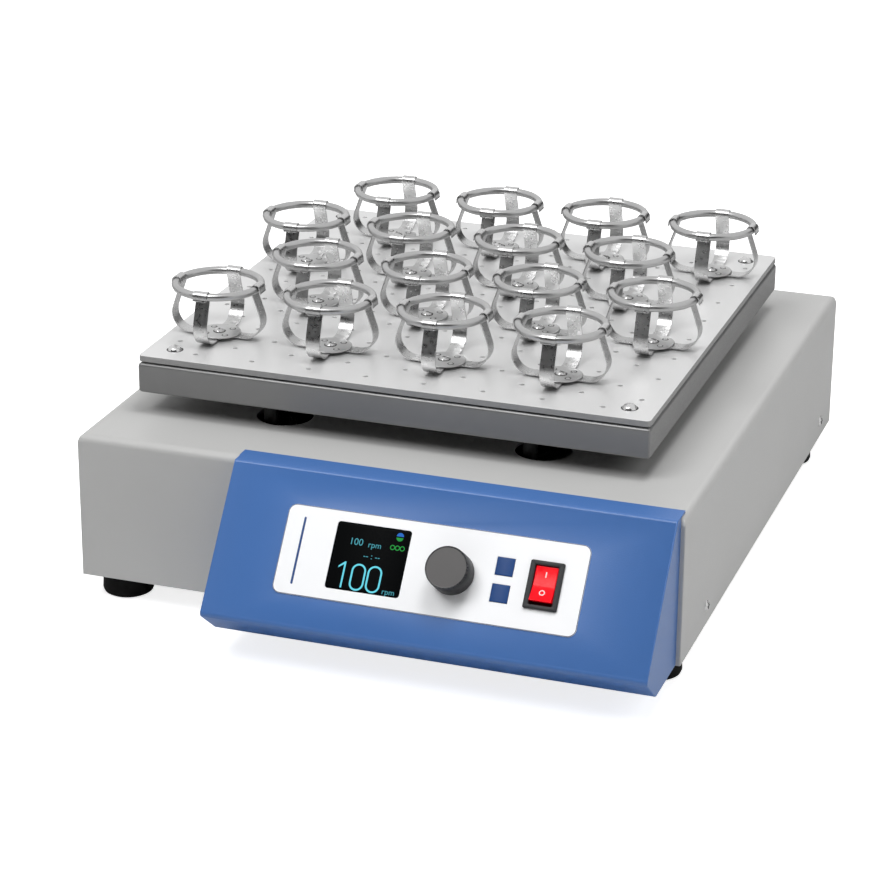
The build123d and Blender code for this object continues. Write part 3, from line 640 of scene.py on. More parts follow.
def flat_shape(bm, outlines, thickness=0.0, edge=0.0):
    """Outlines filled as a flat curve, with the inner ones left open, and set on the XY plane."""
    curve = bpy.data.curves.new("flat shape", "CURVE")
    curve.dimensions = "2D"
    curve.fill_mode = "BOTH"
    curve.extrude = thickness / 2 - edge
    curve.bevel_depth = edge
    curve.bevel_resolution = 1
    curve.offset = -edge
    for outline in outlines:
        spline = curve.splines.new("POLY")
        spline.points.add(len(outline) - 1)
        for point, (x, y) in zip(spline.points, outline):
            point.co = (x, y, 0.0, 1.0)
        spline.use_cyclic_u = True
    take_curve(bm, curve, thickness / 2)


def lettering(bm, text, size, thickness=0.0):
    """Figures set from the middle of the XY plane."""
    curve = bpy.data.curves.new("figures", "FONT")
    curve.body = text
    curve.size = size
    curve.align_x = "CENTER"
    curve.align_y = "CENTER"
    curve.extrude = thickness / 2
    take_curve(bm, curve, thickness / 2)


def take_curve(bm, curve, lift):
    """Add a curve's mesh to the bmesh, standing on the XY plane."""
    holder = bpy.data.objects.new(curve.name, curve)
    mesh = bpy.data.meshes.new_from_object(holder)
    bpy.data.objects.remove(holder)
    bpy.data.curves.remove(curve)
    with placed(bm, at(z=lift)):
        bm.from_mesh(mesh)
    bpy.data.meshes.remove(mesh)


def settle(bm, name, body, finishes, replaced=(), sharp=32.0):
    """Make a finished bmesh a piece that rides on its body, in metres."""
    bmesh.ops.remove_doubles(bm, verts=bm.verts, dist=MERGE)
    bmesh.ops.recalc_face_normals(bm, faces=bm.faces)
    for face in bm.faces:
        face.smooth = True
    for edge in bm.edges:
        joined = len(edge.link_faces) == 2
        edge.smooth = joined and edge.calc_face_angle() < radians(sharp)
    bmesh.ops.scale(bm, vec=(1 / METRE,) * 3, verts=bm.verts)
    mesh = bpy.data.meshes.new(name)
    bm.to_mesh(mesh)
    bm.free()
    for finish_name in finishes:
        mesh.materials.append(finish(finish_name))
    thing = bpy.data.objects.new(name, mesh)
    bpy.context.scene.collection.objects.link(thing)
    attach(thing, body)
    if replaced:
        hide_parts(*replaced)
    return thing


def soften(thing, width, segments=3, angle=35.0, weighted=False):
    """Round a piece's edges, with flat faces kept flat."""
    bevel = thing.modifiers.new("Soft edges", "BEVEL")
    bevel.width = width / METRE
    bevel.segments = segments
    bevel.limit_method = "WEIGHT" if weighted else "ANGLE"
    bevel.angle_limit = radians(angle)
    bevel.harden_normals = True
    bevel.miter_outer = "MITER_SHARP"


def open_face(bm, direction, margin):
    """Take the middle out of the face that looks this way, and leave a rim."""
    faces = pick_faces(bm, direction)
    bmesh.ops.inset_region(bm, faces=faces, thickness=margin, use_even_offset=True)
    bmesh.ops.delete(bm, geom=faces, context="FACES_ONLY")


def seat_shade_ring(bm, radius, width, height, steps):
    """Painted shade: the dark line round a head that is pressed on a surface, where its seat lies
    in shadow.
    """
    inner, outer = radius - 0.1, radius + width
    lathe(bm, [(inner, height), (outer, height), (outer + 0.05, -0.02)], steps)


def cross_recess_shade(bm, size, width, level):
    """Painted shade of a cross recess in the top of a head: each arm a thin dark bar."""
    thickness = 0.3
    for x, y in ((size, width), (width, size)):
        box(bm, x, y, thickness, (0.0, 0.0, level))


def thicken(thing, thickness):
    """Give a sheet its thickness on the inside."""
    shell = thing.modifiers.new("Sheet", "SOLIDIFY")
    shell.thickness = thickness / METRE
    shell.offset = -1.0


def coat_node(node, finish_name):
    """Give a frame node a finish."""
    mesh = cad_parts[node].data
    mesh.materials.clear()
    mesh.materials.append(finish(finish_name))


def pick_faces(bm, direction):
    """The faces whose normals point this way."""
    bm.normal_update()
    parallel = 0.999
    return [face for face in bm.faces if face.normal.dot(Vector(direction)) > parallel]


def weigh_edges(bm, rule):
    """Give each edge the bevel weight that the rule returns."""
    layer = bm.edges.layers.float.new("bevel_weight_edge")
    for edge in bm.edges:
        edge[layer] = rule(edge)


def stage_piece(bm, name, material):
    """Make a bmesh in metres a piece of the studio."""
    mesh = bpy.data.meshes.new(name)
    bm.to_mesh(mesh)
    bm.free()
    mesh.materials.append(material)
    thing = bpy.data.objects.new(name, mesh)
    bpy.context.scene.collection.objects.link(thing)
    return thing


# Places


def panel(sizes, x=0.0, drop=0.0, height=0.0):
    """A plane on the console's slope: x from its middle, drop from the ledge, height off it."""
    tilt = atan2(sizes.ledge_y - sizes.foot_y, sizes.ledge_z - sizes.foot_z)
    across = Vector((1.0, 0.0, 0.0))
    up = Vector((0.0, sin(tilt), cos(tilt)))
    out = Vector((0.0, -cos(tilt), sin(tilt)))
    origin = Vector((mm(sizes.centre) + x, mm(sizes.ledge_y), mm(sizes.ledge_z)))
    origin = origin - up * drop + out * height
    matrix = Matrix((across, up, out)).transposed().to_4x4()
    matrix.translation = origin
    return matrix


def platform(sizes, height=0.0):
    """A level plane over the middle of the platform."""
    return at(mm(sizes.centre_x), mm(sizes.centre_y), height)


def clamp_places(sizes):
    """The clamps' places from the middle of the platform, row by row from the front."""
    step = mm(sizes.half_pitch) * 2
    left, front = CLAMPS_IN_ROW - 0.5, CLAMP_ROWS - 1
    return [
        [
            (step * (2 * column + row % 2 - left), step * (2 * row - front))
            for column in range(CLAMPS_IN_ROW)
        ]
        for row in range(CLAMP_ROWS)
    ]


def opening(place, width, height, radius=0.0):
    """The outline of an opening in the slope, about a place on it."""
    x, drop = place
    return rectangle(width, height, x, -drop, radius)


# Middles of the items on the slope: along X from the console's middle, and down from its ledge
FILM = (-2.6, 52.2)
PRINTED_BAR = (-90.0, 52.6)
DISPLAY = (-43.4, 51.8)
KNOB = (12.8, 53.0)
PROGRAM_KEY = (44.7, 43.8)
SELECT_KEY = (44.7, 60.9)
SWITCH = (71.6, 52.2)

# The film and its print, in millimetres
FILM_WIDTH, FILM_HEIGHT, FILM_CORNER, FILM_THICKNESS = 199.0, 58.2, 5.4, 0.6
INK_THICKNESS = 0.04

PANEL_OPENINGS = (
    opening(DISPLAY, 49.4, 43.6, 2.1),
    circle(KNOB[0], -KNOB[1], 3.8),
    opening(PROGRAM_KEY, 11.8, 11.8),
    opening(SELECT_KEY, 11.8, 11.8),
    opening(SWITCH, 19.2, 28.1),
)

# The mains inlet: its middle on the rear wall, above the casing's lower edge
INLET_X, INLET_RISE = 140.0, 45.0
SOCKET = (30.0, 22.0)
SOCKET_GAP = 0.2

# The crank pins' openings in the casing's top: place and radius
CRANK_Y = 41.0711
PIN_OPENINGS = [(0.0, CRANK_Y, 22.0)]
PIN_OPENINGS += [(x, CRANK_Y + y, 19.0) for x in (-90.0, 90.0) for y in (-152.0, 152.0)]


class ShakerPiece:
    """What every operator here shares."""

    bl_options = {"REGISTER", "UNDO"}


class SHAKER_OT_casing(ShakerPiece, bpy.types.Operator):
    """Model the casing's cover, its screws, the feet and the mains inlet."""

    bl_idname = "shaker.casing"
    bl_label = "Casing"

    def execute(self, context):
        sizes = context.scene.shaker_casing
        self.cover(sizes)
        self.side_screws(sizes)
        self.feet(sizes)
        coat_node("base_tray", "grey coat")
        self.inlet(sizes)
        return {"FINISHED"}

    def cover(self, sizes):
        """The folded cover, open below, with the openings for the crank pins and the inlet."""
        width, front, rear = mm(sizes.width), mm(sizes.front), mm(sizes.rear)
        bottom, top = mm(sizes.bottom), mm(sizes.top)
        middle, waist = (front + rear) / 2, (top + bottom) / 2
        margin = 12.0
        bm = bmesh.new()
        box(bm, width, rear - front, top - bottom, (0.0, middle, waist))
        bmesh.ops.delete(bm, geom=pick_faces(bm, (0, 0, -1)), context="FACES_ONLY")
        weigh_edges(bm, self.bend_weight)
        open_face(bm, (0, 0, 1), margin)
        with placed(bm, at(0.0, middle, top)):
            pins = [circle(x, y - middle, radius, 40) for x, y, radius in PIN_OPENINGS]
            flat_shape(bm, [rectangle(width - 2 * margin, rear - front - 2 * margin)] + pins)
        open_face(bm, (0, 1, 0), margin)
        with placed(bm, at(0.0, rear, waist) @ turned(-pi / 2, "X")):
            inlet = [side + 2 * SOCKET_GAP for side in SOCKET]
            flat_shape(
                bm,
                [
                    rectangle(width - 2 * margin, top - bottom - 2 * margin),
                    rectangle(*inlet, INLET_X, waist - bottom - INLET_RISE),
                ],
            )
        cover = settle(
            bm, "casing_cover", "casing", ["grey coat"], ["housing_cover"]
        )
        soften(cover, mm(sizes.bend), segments=8, weighted=True)
        thicken(cover, mm(sizes.sheet))

    def side_screws(self, sizes):
        """Two screws low on each side."""
        half, rise = mm(sizes.width) / 2, 13.3
        places = (mm(sizes.front) + 65.0, mm(sizes.rear) - 38.0)
        bm = bmesh.new()
        for x, turn in ((-half, -pi / 2), (half, pi / 2)):
            for y in places:
                with placed(bm, at(x, y, mm(sizes.bottom) + rise) @ turned(turn, "Y")):
                    self.screw_head(bm, mm(sizes.screw_radius))
        finishes = ["screw steel", "hole shade"]
        settle(bm, "side_screws", "casing", finishes, ["cover_screws"])

    @staticmethod
    def feet(sizes):
        """Four round feet that taper to the table."""
        radius, height, across = mm(sizes.foot_radius), mm(sizes.bottom), mm(sizes.width) / 2 - 22.0
        bm = bmesh.new()
        for x in (-across, across):
            for y in (mm(sizes.front) + 24.0, mm(sizes.rear) - 44.0):
                with placed(bm, at(x, y)):
                    lathe(
                        bm,
                        [
                            (0.0, 0.6),
                            (radius - 6.0, 0.6),
                            (radius - 5.4, 0.0),
                            (radius - 3.0, 0.0),
                            (radius - 0.8, 1.2),
                            (radius, 3.2),
                            (radius - 0.1, 5.0),
                            (radius - 0.6, 15.0),
                            (radius - 1.0, height),
                            (0.0, height),
                        ],
                    )
        settle(bm, "feet", "casing", ["foot rubber"], ["rubber_feet"], 50.0)

    @staticmethod
    def bend_weight(edge):
        """The top bends are wide and the upright corners almost sharp."""
        upright_weight, half_way = 0.16, 60.0
        first, second = (vert.co for vert in edge.verts)
        if abs(first.z - second.z) > 1.0:
            return upright_weight
        return 1.0 if first.z > half_way else 0.0

    @staticmethod
    def screw_head(bm, radius):
        """A low dome with a cross recess, painted as dark shade bars."""
        with painted(bm, 0):
            lathe(
                bm,
                [
                    (0.0, 1.5),
                    (radius * 0.5, 1.35),
                    (radius * 0.8, 0.95),
                    (radius * 0.95, 0.5),
                    (radius, 0.0),
                    (0.0, -1.5),
                ],
                24,
            )
        with painted(bm, 1):
            cross_recess_shade(bm, radius * 1.1, width=0.8, level=1.45)

    @staticmethod
    def inlet(sizes):
        """The mains inlet's flange, its hollow socket with three blades, and two screws."""
        wall = at(INLET_X, mm(sizes.rear), mm(sizes.bottom) + INLET_RISE) @ turned(-pi / 2, "X")
        flange, thickness, depth = (50.0, 27.0), 2.0, 22.0
        hollow = rectangle(25.0, 17.0, radius=2.0)
        bm = bmesh.new()
        with painted(bm, 0), placed(bm, wall):
            flat_shape(bm, [rectangle(*flange, radius=4.0), hollow], thickness, edge=0.3)
            with placed(bm, at(z=-depth)):
                flat_shape(bm, [rectangle(*SOCKET), hollow], depth)
                flat_shape(bm, [rectangle(*SOCKET)], 4.0)
        with painted(bm, 1), placed(bm, wall):
            for x, y in ((-7.0, 2.0), (0.0, -2.0), (7.0, 2.0)):
                box(bm, 2.0, 4.0, 14.0, (x, y, -depth / 2))
            for x in (-20.0, 20.0):
                with placed(bm, at(x, 0.0, thickness)):
                    lathe(bm, [(0.0, 0.9), (1.8, 0.7), (2.6, 0.0), (0.0, -0.5)], 20)
        finishes = ["black plastic", "screw steel"]
        settle(bm, "mains_socket", "casing", finishes, ["mains_inlet"])


class SHAKER_OT_console(ShakerPiece, bpy.types.Operator):
    """Model the folded console with its ledge, sloped face and chin."""

    bl_idname = "shaker.console"
    bl_label = "Console"

    def execute(self, context):
        sizes = context.scene.shaker_console
        casing = context.scene.shaker_casing
        width, centre = mm(sizes.width), mm(sizes.centre)
        front, bottom, lap = mm(casing.front), mm(casing.bottom), mm(sizes.lap)
        ledge = Vector((mm(sizes.ledge_y), mm(sizes.ledge_z)))
        foot = Vector((mm(sizes.foot_y), mm(sizes.foot_z)))
        chin = Vector((mm(sizes.chin_y), bottom))
        matrix = panel(sizes)

        bm = bmesh.new()
        outline = [foot, chin, (front, bottom), (front, ledge.y), ledge]
        with placed(bm, upended((centre - width / 2, 0, 0), (0, 1, 0), (0, 0, 1))):
            prism(bm, outline, width)
        bmesh.ops.delete(bm, geom=pick_faces(bm, (0, 1, 0)), context="FACES_ONLY")
        self.fold(bm, foot, mm(sizes.chin_bend))
        self.fold(bm, chin, mm(sizes.chin_bend))
        self.fold(bm, ledge, mm(sizes.ledge_bend))
        slope = pick_faces(bm, matrix.col[2].xyz)
        bmesh.ops.inset_region(bm, faces=slope, thickness=0.8, use_even_offset=True)
        edge = [(matrix.inverted() @ vert.co).xy[:] for vert in slope[0].verts]
        bmesh.ops.delete(bm, geom=slope, context="FACES_ONLY")
        with placed(bm, matrix):
            flat_shape(bm, [edge, *PANEL_OPENINGS])
        with placed(bm, at(centre, front, ledge.y)):
            corners = rectangle(width, lap, y=lap / 2)
            bm.faces.new([bm.verts.new((x, y, 0.0)) for x, y in corners])
        bmesh.ops.remove_doubles(bm, verts=bm.verts, dist=MERGE)
        weigh_edges(bm, self.end_weight)
        shell = settle(
            bm, "console", "casing", ["blue coat"], ["console_shell"], sharp=24.0
        )
        soften(shell, 1.2, segments=4, weighted=True)
        thicken(shell, mm(sizes.sheet))
        return {"FINISHED"}

    @staticmethod
    def fold(bm, place, radius):
        """Round the fold that crosses the console at this place."""
        longest_end, near = 100.0, 0.1
        bm.normal_update()
        edges = [
            edge
            for edge in bm.edges
            if edge.calc_length() > longest_end
            and all((vert.co.yz - place).length < near for vert in edge.verts)
        ]
        bmesh.ops.bevel(
            bm,
            geom=edges,
            offset=radius * tan(edges[0].calc_face_angle() / 2),
            offset_type="OFFSET",
            segments=6,
            affect="EDGES",
            profile=0.5,
            material=-1,
        )

    @staticmethod
    def end_weight(edge):
        """The folds round both ends are small and even."""
        if len(edge.link_faces) != 2:
            return 0.0
        sides = [abs(face.normal.x) > 0.9 for face in edge.link_faces]
        return 1.0 if sides[0] != sides[1] else 0.0


class SHAKER_OT_panel(ShakerPiece, bpy.types.Operator):
    """Model the printed film, the display and the two keys."""

    bl_idname = "shaker.panel"
    bl_label = "Panel"

    def execute(self, context):
        sizes = context.scene.shaker_console
        self.film(sizes)
        self.display(sizes)
        self.caps(sizes)
        return {"FINISHED"}

    @staticmethod
    def film(sizes):
        """The film with its openings, its printed outline and its bar."""
        bm = bmesh.new()
        with painted(bm, 0), placed(bm, panel(sizes)):
            x, drop = FILM
            film = rectangle(FILM_WIDTH, FILM_HEIGHT, x, -drop, FILM_CORNER, 10)
            flat_shape(bm, [film, *PANEL_OPENINGS], FILM_THICKNESS)
        with painted(bm, 1), placed(bm, panel(sizes, *FILM, FILM_THICKNESS)):
            line = rounded_ring(FILM_WIDTH, FILM_HEIGHT, FILM_CORNER, (0.05, 0.5), 10)
            flat_shape(bm, line, INK_THICKNESS)
        with painted(bm, 2), placed(bm, panel(sizes, *PRINTED_BAR, FILM_THICKNESS)):
            flat_shape(bm, [rectangle(1.5, 43.9, radius=0.74)], INK_THICKNESS)
        finishes = ["panel film", "outline ink", "navy ink"]
        settle(bm, "panel_film", "casing", finishes, ["panel_overlay"])

    def display(self, sizes):
        """The dark pane and what is lit on it."""
        bm = bmesh.new()
        with placed(bm, panel(sizes, *DISPLAY, -1.0)):
            flat_shape(bm, [rectangle(48.8, 43.0, radius=1.8)], 1.6, edge=0.15)
        node = "display_window"
        settle(bm, "display_pane", "casing", ["dark pane"], [node])
        self.figures(sizes)

    @staticmethod
    def caps(sizes):
        """The two square keys, each on a body of its own."""
        side = mm(sizes.key_size)
        for name, body, place in (
            ("program_key", "program_button", PROGRAM_KEY),
            ("select_key", "select_button", SELECT_KEY),
        ):
            bm = bmesh.new()
            with placed(bm, panel(sizes, *place, -0.2)):
                flat_shape(bm, [rectangle(side, side, radius=0.9)], 1.2, edge=0.18)
            settle(bm, name.replace("_key", "_cap"), body, ["navy ink"], [name])

    @staticmethod
    def figures(sizes):
        """Lit figures: a small line and dashes above, and a large reading below."""
        bm = bmesh.new()
        middle, drop = DISPLAY
        level, skin = 0.62, 0.03
        one = [
            (-0.4, -8.3),
            (0.7, -8.3),
            (0.7, 8.5),
            (-0.2, 8.5),
            (-3.9, 5.4),
            (-3.9, 4.2),
            (-0.4, 6.8),
        ]
        with painted(bm, 0):
            with placed(bm, panel(sizes, middle - 14.4, drop + 12.0, level)):
                flat_shape(bm, [one], skin)
            for x in (middle - 4.5, middle + 6.2):
                with placed(bm, panel(sizes, x, drop + 12.3, level)):
                    flat_shape(bm, rounded_ring(9.6, 17.4, 4.75, (0.0, 1.15), 8), skin)
        for text, x, down, size in (
            ("100", middle - 10.1, -9.8, 6.2),
            ("rpm", middle + 2.3, -9.2, 5.4),
            ("-- : --", middle + 1.8, -1.9, 5.4),
            ("rpm", middle + 17.2, 19.0, 5.2),
        ):
            with painted(bm, 3), placed(bm, panel(sizes, x, drop + down, level)):
                lettering(bm, text, size, skin)
        with painted(bm, 1):
            for x in (14.0, 17.2, 20.4):
                with placed(bm, panel(sizes, middle + x, drop - 9.7, level)):
                    flat_shape(bm, [circle(0, 0, 1.7, 12), circle(0, 0, 1.1, 12)], skin)
            with placed(bm, panel(sizes, middle + 17.5, drop - 16.4, level)):
                lower = [(x, y) for x, y in circle(0, 0, 2.3, 28) if y < 0.3]
                flat_shape(bm, [lower], skin)
        with painted(bm, 2), placed(bm, panel(sizes, middle + 17.5, drop - 17.2, level)):
            upper = [(x, y) for x, y in circle(0, 0, 2.4, 28) if y > -0.3]
            flat_shape(bm, [upper], skin)
        finishes = ["lit figures", "lit green", "lit blue", "lit small"]
        settle(bm, "display_figures", "casing", finishes)


class SHAKER_OT_knob(ShakerPiece, bpy.types.Operator):
    """Model the control knob with its face and rim."""

    bl_idname = "shaker.knob"
    bl_label = "Knob"

    def execute(self, context):
        sizes = context.scene.shaker_console
        radius, height = mm(sizes.knob_radius), mm(sizes.knob_height)
        bore, bore_depth, lift, steps = 6.0, 3.0, 1.6, 96
        side_top = (radius - 0.25, height - 0.75)
        rim_top = (radius - 1.25, height - 0.05)
        side = [
            (bore, bore_depth),
            (bore, 0.0),
            (radius - 0.5, 0.0),
            (radius, 0.5),
            (radius - 0.05, height * 0.5),
            side_top,
        ]
        rim = [side_top, (radius - 0.45, height - 0.3), (radius - 0.95, height), rim_top]
        face = [rim_top, (radius - 1.4, height - 0.2), (0.0, height - 0.2)]
        bore_end = [(bore, bore_depth), (2.6, bore_depth)]
        bm = bmesh.new()
        with placed(bm, panel(sizes, *KNOB, lift)):
            for index, profile in ((0, side), (2, rim), (1, face), (0, bore_end)):
                with painted(bm, index):
                    lathe(bm, profile, steps)
        finishes = ["knob side", "knob face", "knob rim"]
        settle(bm, "knob_cap", "knob", finishes, ["control_knob"])
        for node in ("knob_shaft", "encoder_plunger", "rotary_encoder"):
            coat_node(node, "turned steel")
        return {"FINISHED"}


class SHAKER_OT_switch(ShakerPiece, bpy.types.Operator):
    """Model the power switch: its bezel, the rocker and the two marks."""

    bl_idname = "shaker.switch"
    bl_label = "Power switch"

    def execute(self, context):
        sizes = context.scene.shaker_console
        self.bezel(sizes)
        tilted = panel(sizes, *SWITCH, -2.0) @ turned(radians(-9.0), "X")
        half = 11.6
        self.rocker(tilted, half)
        self.marks(tilted, half)
        return {"FINISHED"}

    @staticmethod
    def bezel(sizes):
        """The bezel, and the body behind it that the rocker tips in."""
        hole = rectangle(15.0, 25.2, radius=0.6)
        body = rectangle(18.6, 27.5)
        bm = bmesh.new()
        for height, outlines, thickness, edge in (
            (FILM_THICKNESS, [rectangle(21.9, 30.8, radius=1.2), hole], 1.8, 0.45),
            (-7.6, [body, hole], 8.6, 0.0),
            (-18.0, [body], 10.2, 0.0),
        ):
            with placed(bm, panel(sizes, *SWITCH)), placed(bm, at(z=height)):
                flat_shape(bm, outlines, thickness, edge)
        settle(bm, "switch_frame", "casing", ["black plastic"], ["switch_bezel"])

    def rocker(self, tilted, half):
        """The rocker, dished between its two ends."""
        width, steps = 14.4, 8
        shares = [step / steps for step in range(-steps, steps + 1)]
        dish = [(half * share, self.dished(share)) for share in shares]
        outline = [(-8.5, -5.0), (8.5, -5.0)] + dish[::-1]
        bm = bmesh.new()
        sideways = upended((-width / 2, 0, 0), (0, 1, 0), (0, 0, 1))
        with painted(bm, 0), placed(bm, tilted @ sideways):
            prism(bm, outline, width)
        rocker = settle(
            bm, "rocker", "rocker", ["red rocker"], ["switch_rocker"], sharp=20.0
        )
        soften(rocker, 0.45, segments=3, angle=40.0)

    def marks(self, tilted, half):
        """The I and the O, each laid on the slope of its end."""
        bm = bmesh.new()
        rise = self.dished(1.0) - self.dished(0.0)
        slope = atan2(rise * 1.1, half)
        on_mark = [rectangle(0.75, 3.6, radius=0.3)]
        off_mark = [circle(0, 0, 1.9, 28), circle(0, 0, 1.25, 28)]
        for y, turn, outlines in ((6.4, slope, on_mark), (-5.6, -slope, off_mark)):
            height = self.dished(y / half) + 0.02
            with placed(bm, tilted @ at(0.0, y, height) @ turned(turn, "X")):
                flat_shape(bm, outlines, 0.06)
        settle(bm, "rocker_marks", "rocker", ["white mark"])

    @staticmethod
    def dished(share):
        """The height of the rocker's dished face, at a share of the way to either end."""
        end, waist = 5.2, 3.4
        return waist + (end - waist) * abs(share) ** 1.35


class SHAKER_OT_platform(ShakerPiece, bpy.types.Operator):
    """Model the platform's tray, its drilled plate and the corner screws."""

    bl_idname = "shaker.platform"
    bl_label = "Platform"

    def execute(self, context):
        sizes = context.scene.shaker_platform
        offset = mm(sizes.screw_offset)
        corners = [(x, y) for x in (-offset, offset) for y in (-offset, offset)]
        screw_hole = 2.8
        self.tray(sizes)
        self.pads(sizes, corners, screw_hole)
        self.plate(sizes, corners, screw_hole)
        self.screws(sizes, corners)
        coat_node("platform_hubs", "milled aluminium")
        return {"FINISHED"}

    def tray(self, sizes):
        """The folded tray: lips under its sides, and two windows in its top."""
        size, top, bottom = mm(sizes.tray_size), mm(sizes.tray_top), mm(sizes.tray_bottom)
        margin, rim, side_rim, bar = 8.0, 45.0, 28.0, 32.0
        wide, deep = size - 2 * side_rim, size / 2 - rim - bar
        windows = [rectangle(wide, deep, 0, side * (bar + deep / 2)) for side in (-1, 1)]
        bm = bmesh.new()
        with placed(bm, platform(sizes)):
            box(bm, size, size, top - bottom, (0.0, 0.0, (top + bottom) / 2))
            open_face(bm, (0, 0, -1), mm(sizes.lip) + mm(sizes.tray_sheet))
            weigh_edges(bm, self.fold_weight)
            open_face(bm, (0, 0, 1), margin)
            with placed(bm, at(z=top)):
                flat_shape(bm, [rectangle(size - 2 * margin, size - 2 * margin)] + windows)
        tray = settle(bm, "tray", "platform", ["tray steel"], ["platform_tray"])
        soften(tray, mm(sizes.tray_bend), segments=6, weighted=True)
        thicken(tray, mm(sizes.tray_sheet))

    @staticmethod
    def pads(sizes, corners, screw_hole):
        """Thin pads round the corner screws, between the tray and the plate."""
        side, thickness = 16.0, 1.1
        bm = bmesh.new()
        with placed(bm, platform(sizes, mm(sizes.tray_top))):
            for x, y in corners:
                with placed(bm, at(x, y)):
                    flat_shape(bm, [rectangle(side, side), circle(0, 0, screw_hole)], thickness)
        settle(bm, "spacer_pads", "platform", ["tray steel"])

    def plate(self, sizes, corners, screw_hole):
        """The drilled plate: two hole grids of the same pitch, half a pitch apart."""
        steps, half = sizes.hole_steps, mm(sizes.half_pitch)
        holes = [
            (x * half, y * half)
            for x in range(-steps, steps + 1)
            for y in range(-steps, steps + 1)
            if (x + y) % 2 == 1
        ]
        size = mm(sizes.plate_size)
        outlines = [rectangle(size, size, radius=3.0)]
        outlines += [circle(x, y, mm(sizes.hole_radius), 16) for x, y in holes]
        outlines += [circle(x, y, screw_hole, 16) for x, y in corners]
        bm = bmesh.new()
        with placed(bm, platform(sizes, mm(sizes.plate_bottom))):
            flat_shape(bm, outlines, mm(sizes.plate_thickness), edge=0.2)
        self.paint_walls(bm, mm(sizes.centre_x), mm(sizes.centre_y), size / 2 - 4.0)
        finishes = ["satin plate", "plate edge", "drilled wall"]
        settle(bm, "plate", "platform", finishes, ["platform_plate"], 15.0)

    @staticmethod
    def screws(sizes, corners):
        """A dome-head screw at each corner, with a painted shade line round its seat."""
        radius, high = mm(sizes.screw_radius), mm(sizes.screw_height)
        shank, depth = 2.5, 9.5
        bm = bmesh.new()
        with placed(bm, platform(sizes, mm(sizes.plate_bottom) + mm(sizes.plate_thickness))):
            for x, y in corners:
                with placed(bm, at(x, y)):
                    lathe(
                        bm,
                        [
                            (0.0, high),
                            (radius * 0.3, high * 0.98),
                            (radius * 0.62, high * 0.86),
                            (radius * 0.84, high * 0.6),
                            (radius * 0.96, high * 0.28),
                            (radius, 0.0),
                            (shank, 0.0),
                            (shank, -depth),
                            (0.0, -depth),
                        ],
                        32,
                    )
                    # painted shade round the screw's seat
                    with painted(bm, 1):
                        seat_shade_ring(bm, radius, width=0.8, height=0.03, steps=32)
        finishes = ["screw steel", "hole shade"]
        replaced = ["platform_screws"]
        settle(bm, "corner_screws", "platform", finishes, replaced, 40.0)

    @staticmethod
    def paint_walls(bm, centre_x, centre_y, reach):
        """The plate's edge, beyond the reach, takes one finish and the holes' walls another."""
        bm.normal_update()
        for face in bm.faces:
            upright = abs(face.normal.z) < 0.5
            across = max(abs(vert.co.x - centre_x) for vert in face.verts)
            along = max(abs(vert.co.y - centre_y) for vert in face.verts)
            rim = across > reach or along > reach
            face.material_index = (1 if rim else 2) if upright else 0

    @staticmethod
    def fold_weight(edge):
        """The top folds take the tray's bend, and the others are tighter."""
        upper, tighter = 153.0, 0.6
        if len(edge.link_faces) < 2:
            return 0.0
        return 1.0 if min(vert.co.z for vert in edge.verts) > upper else tighter


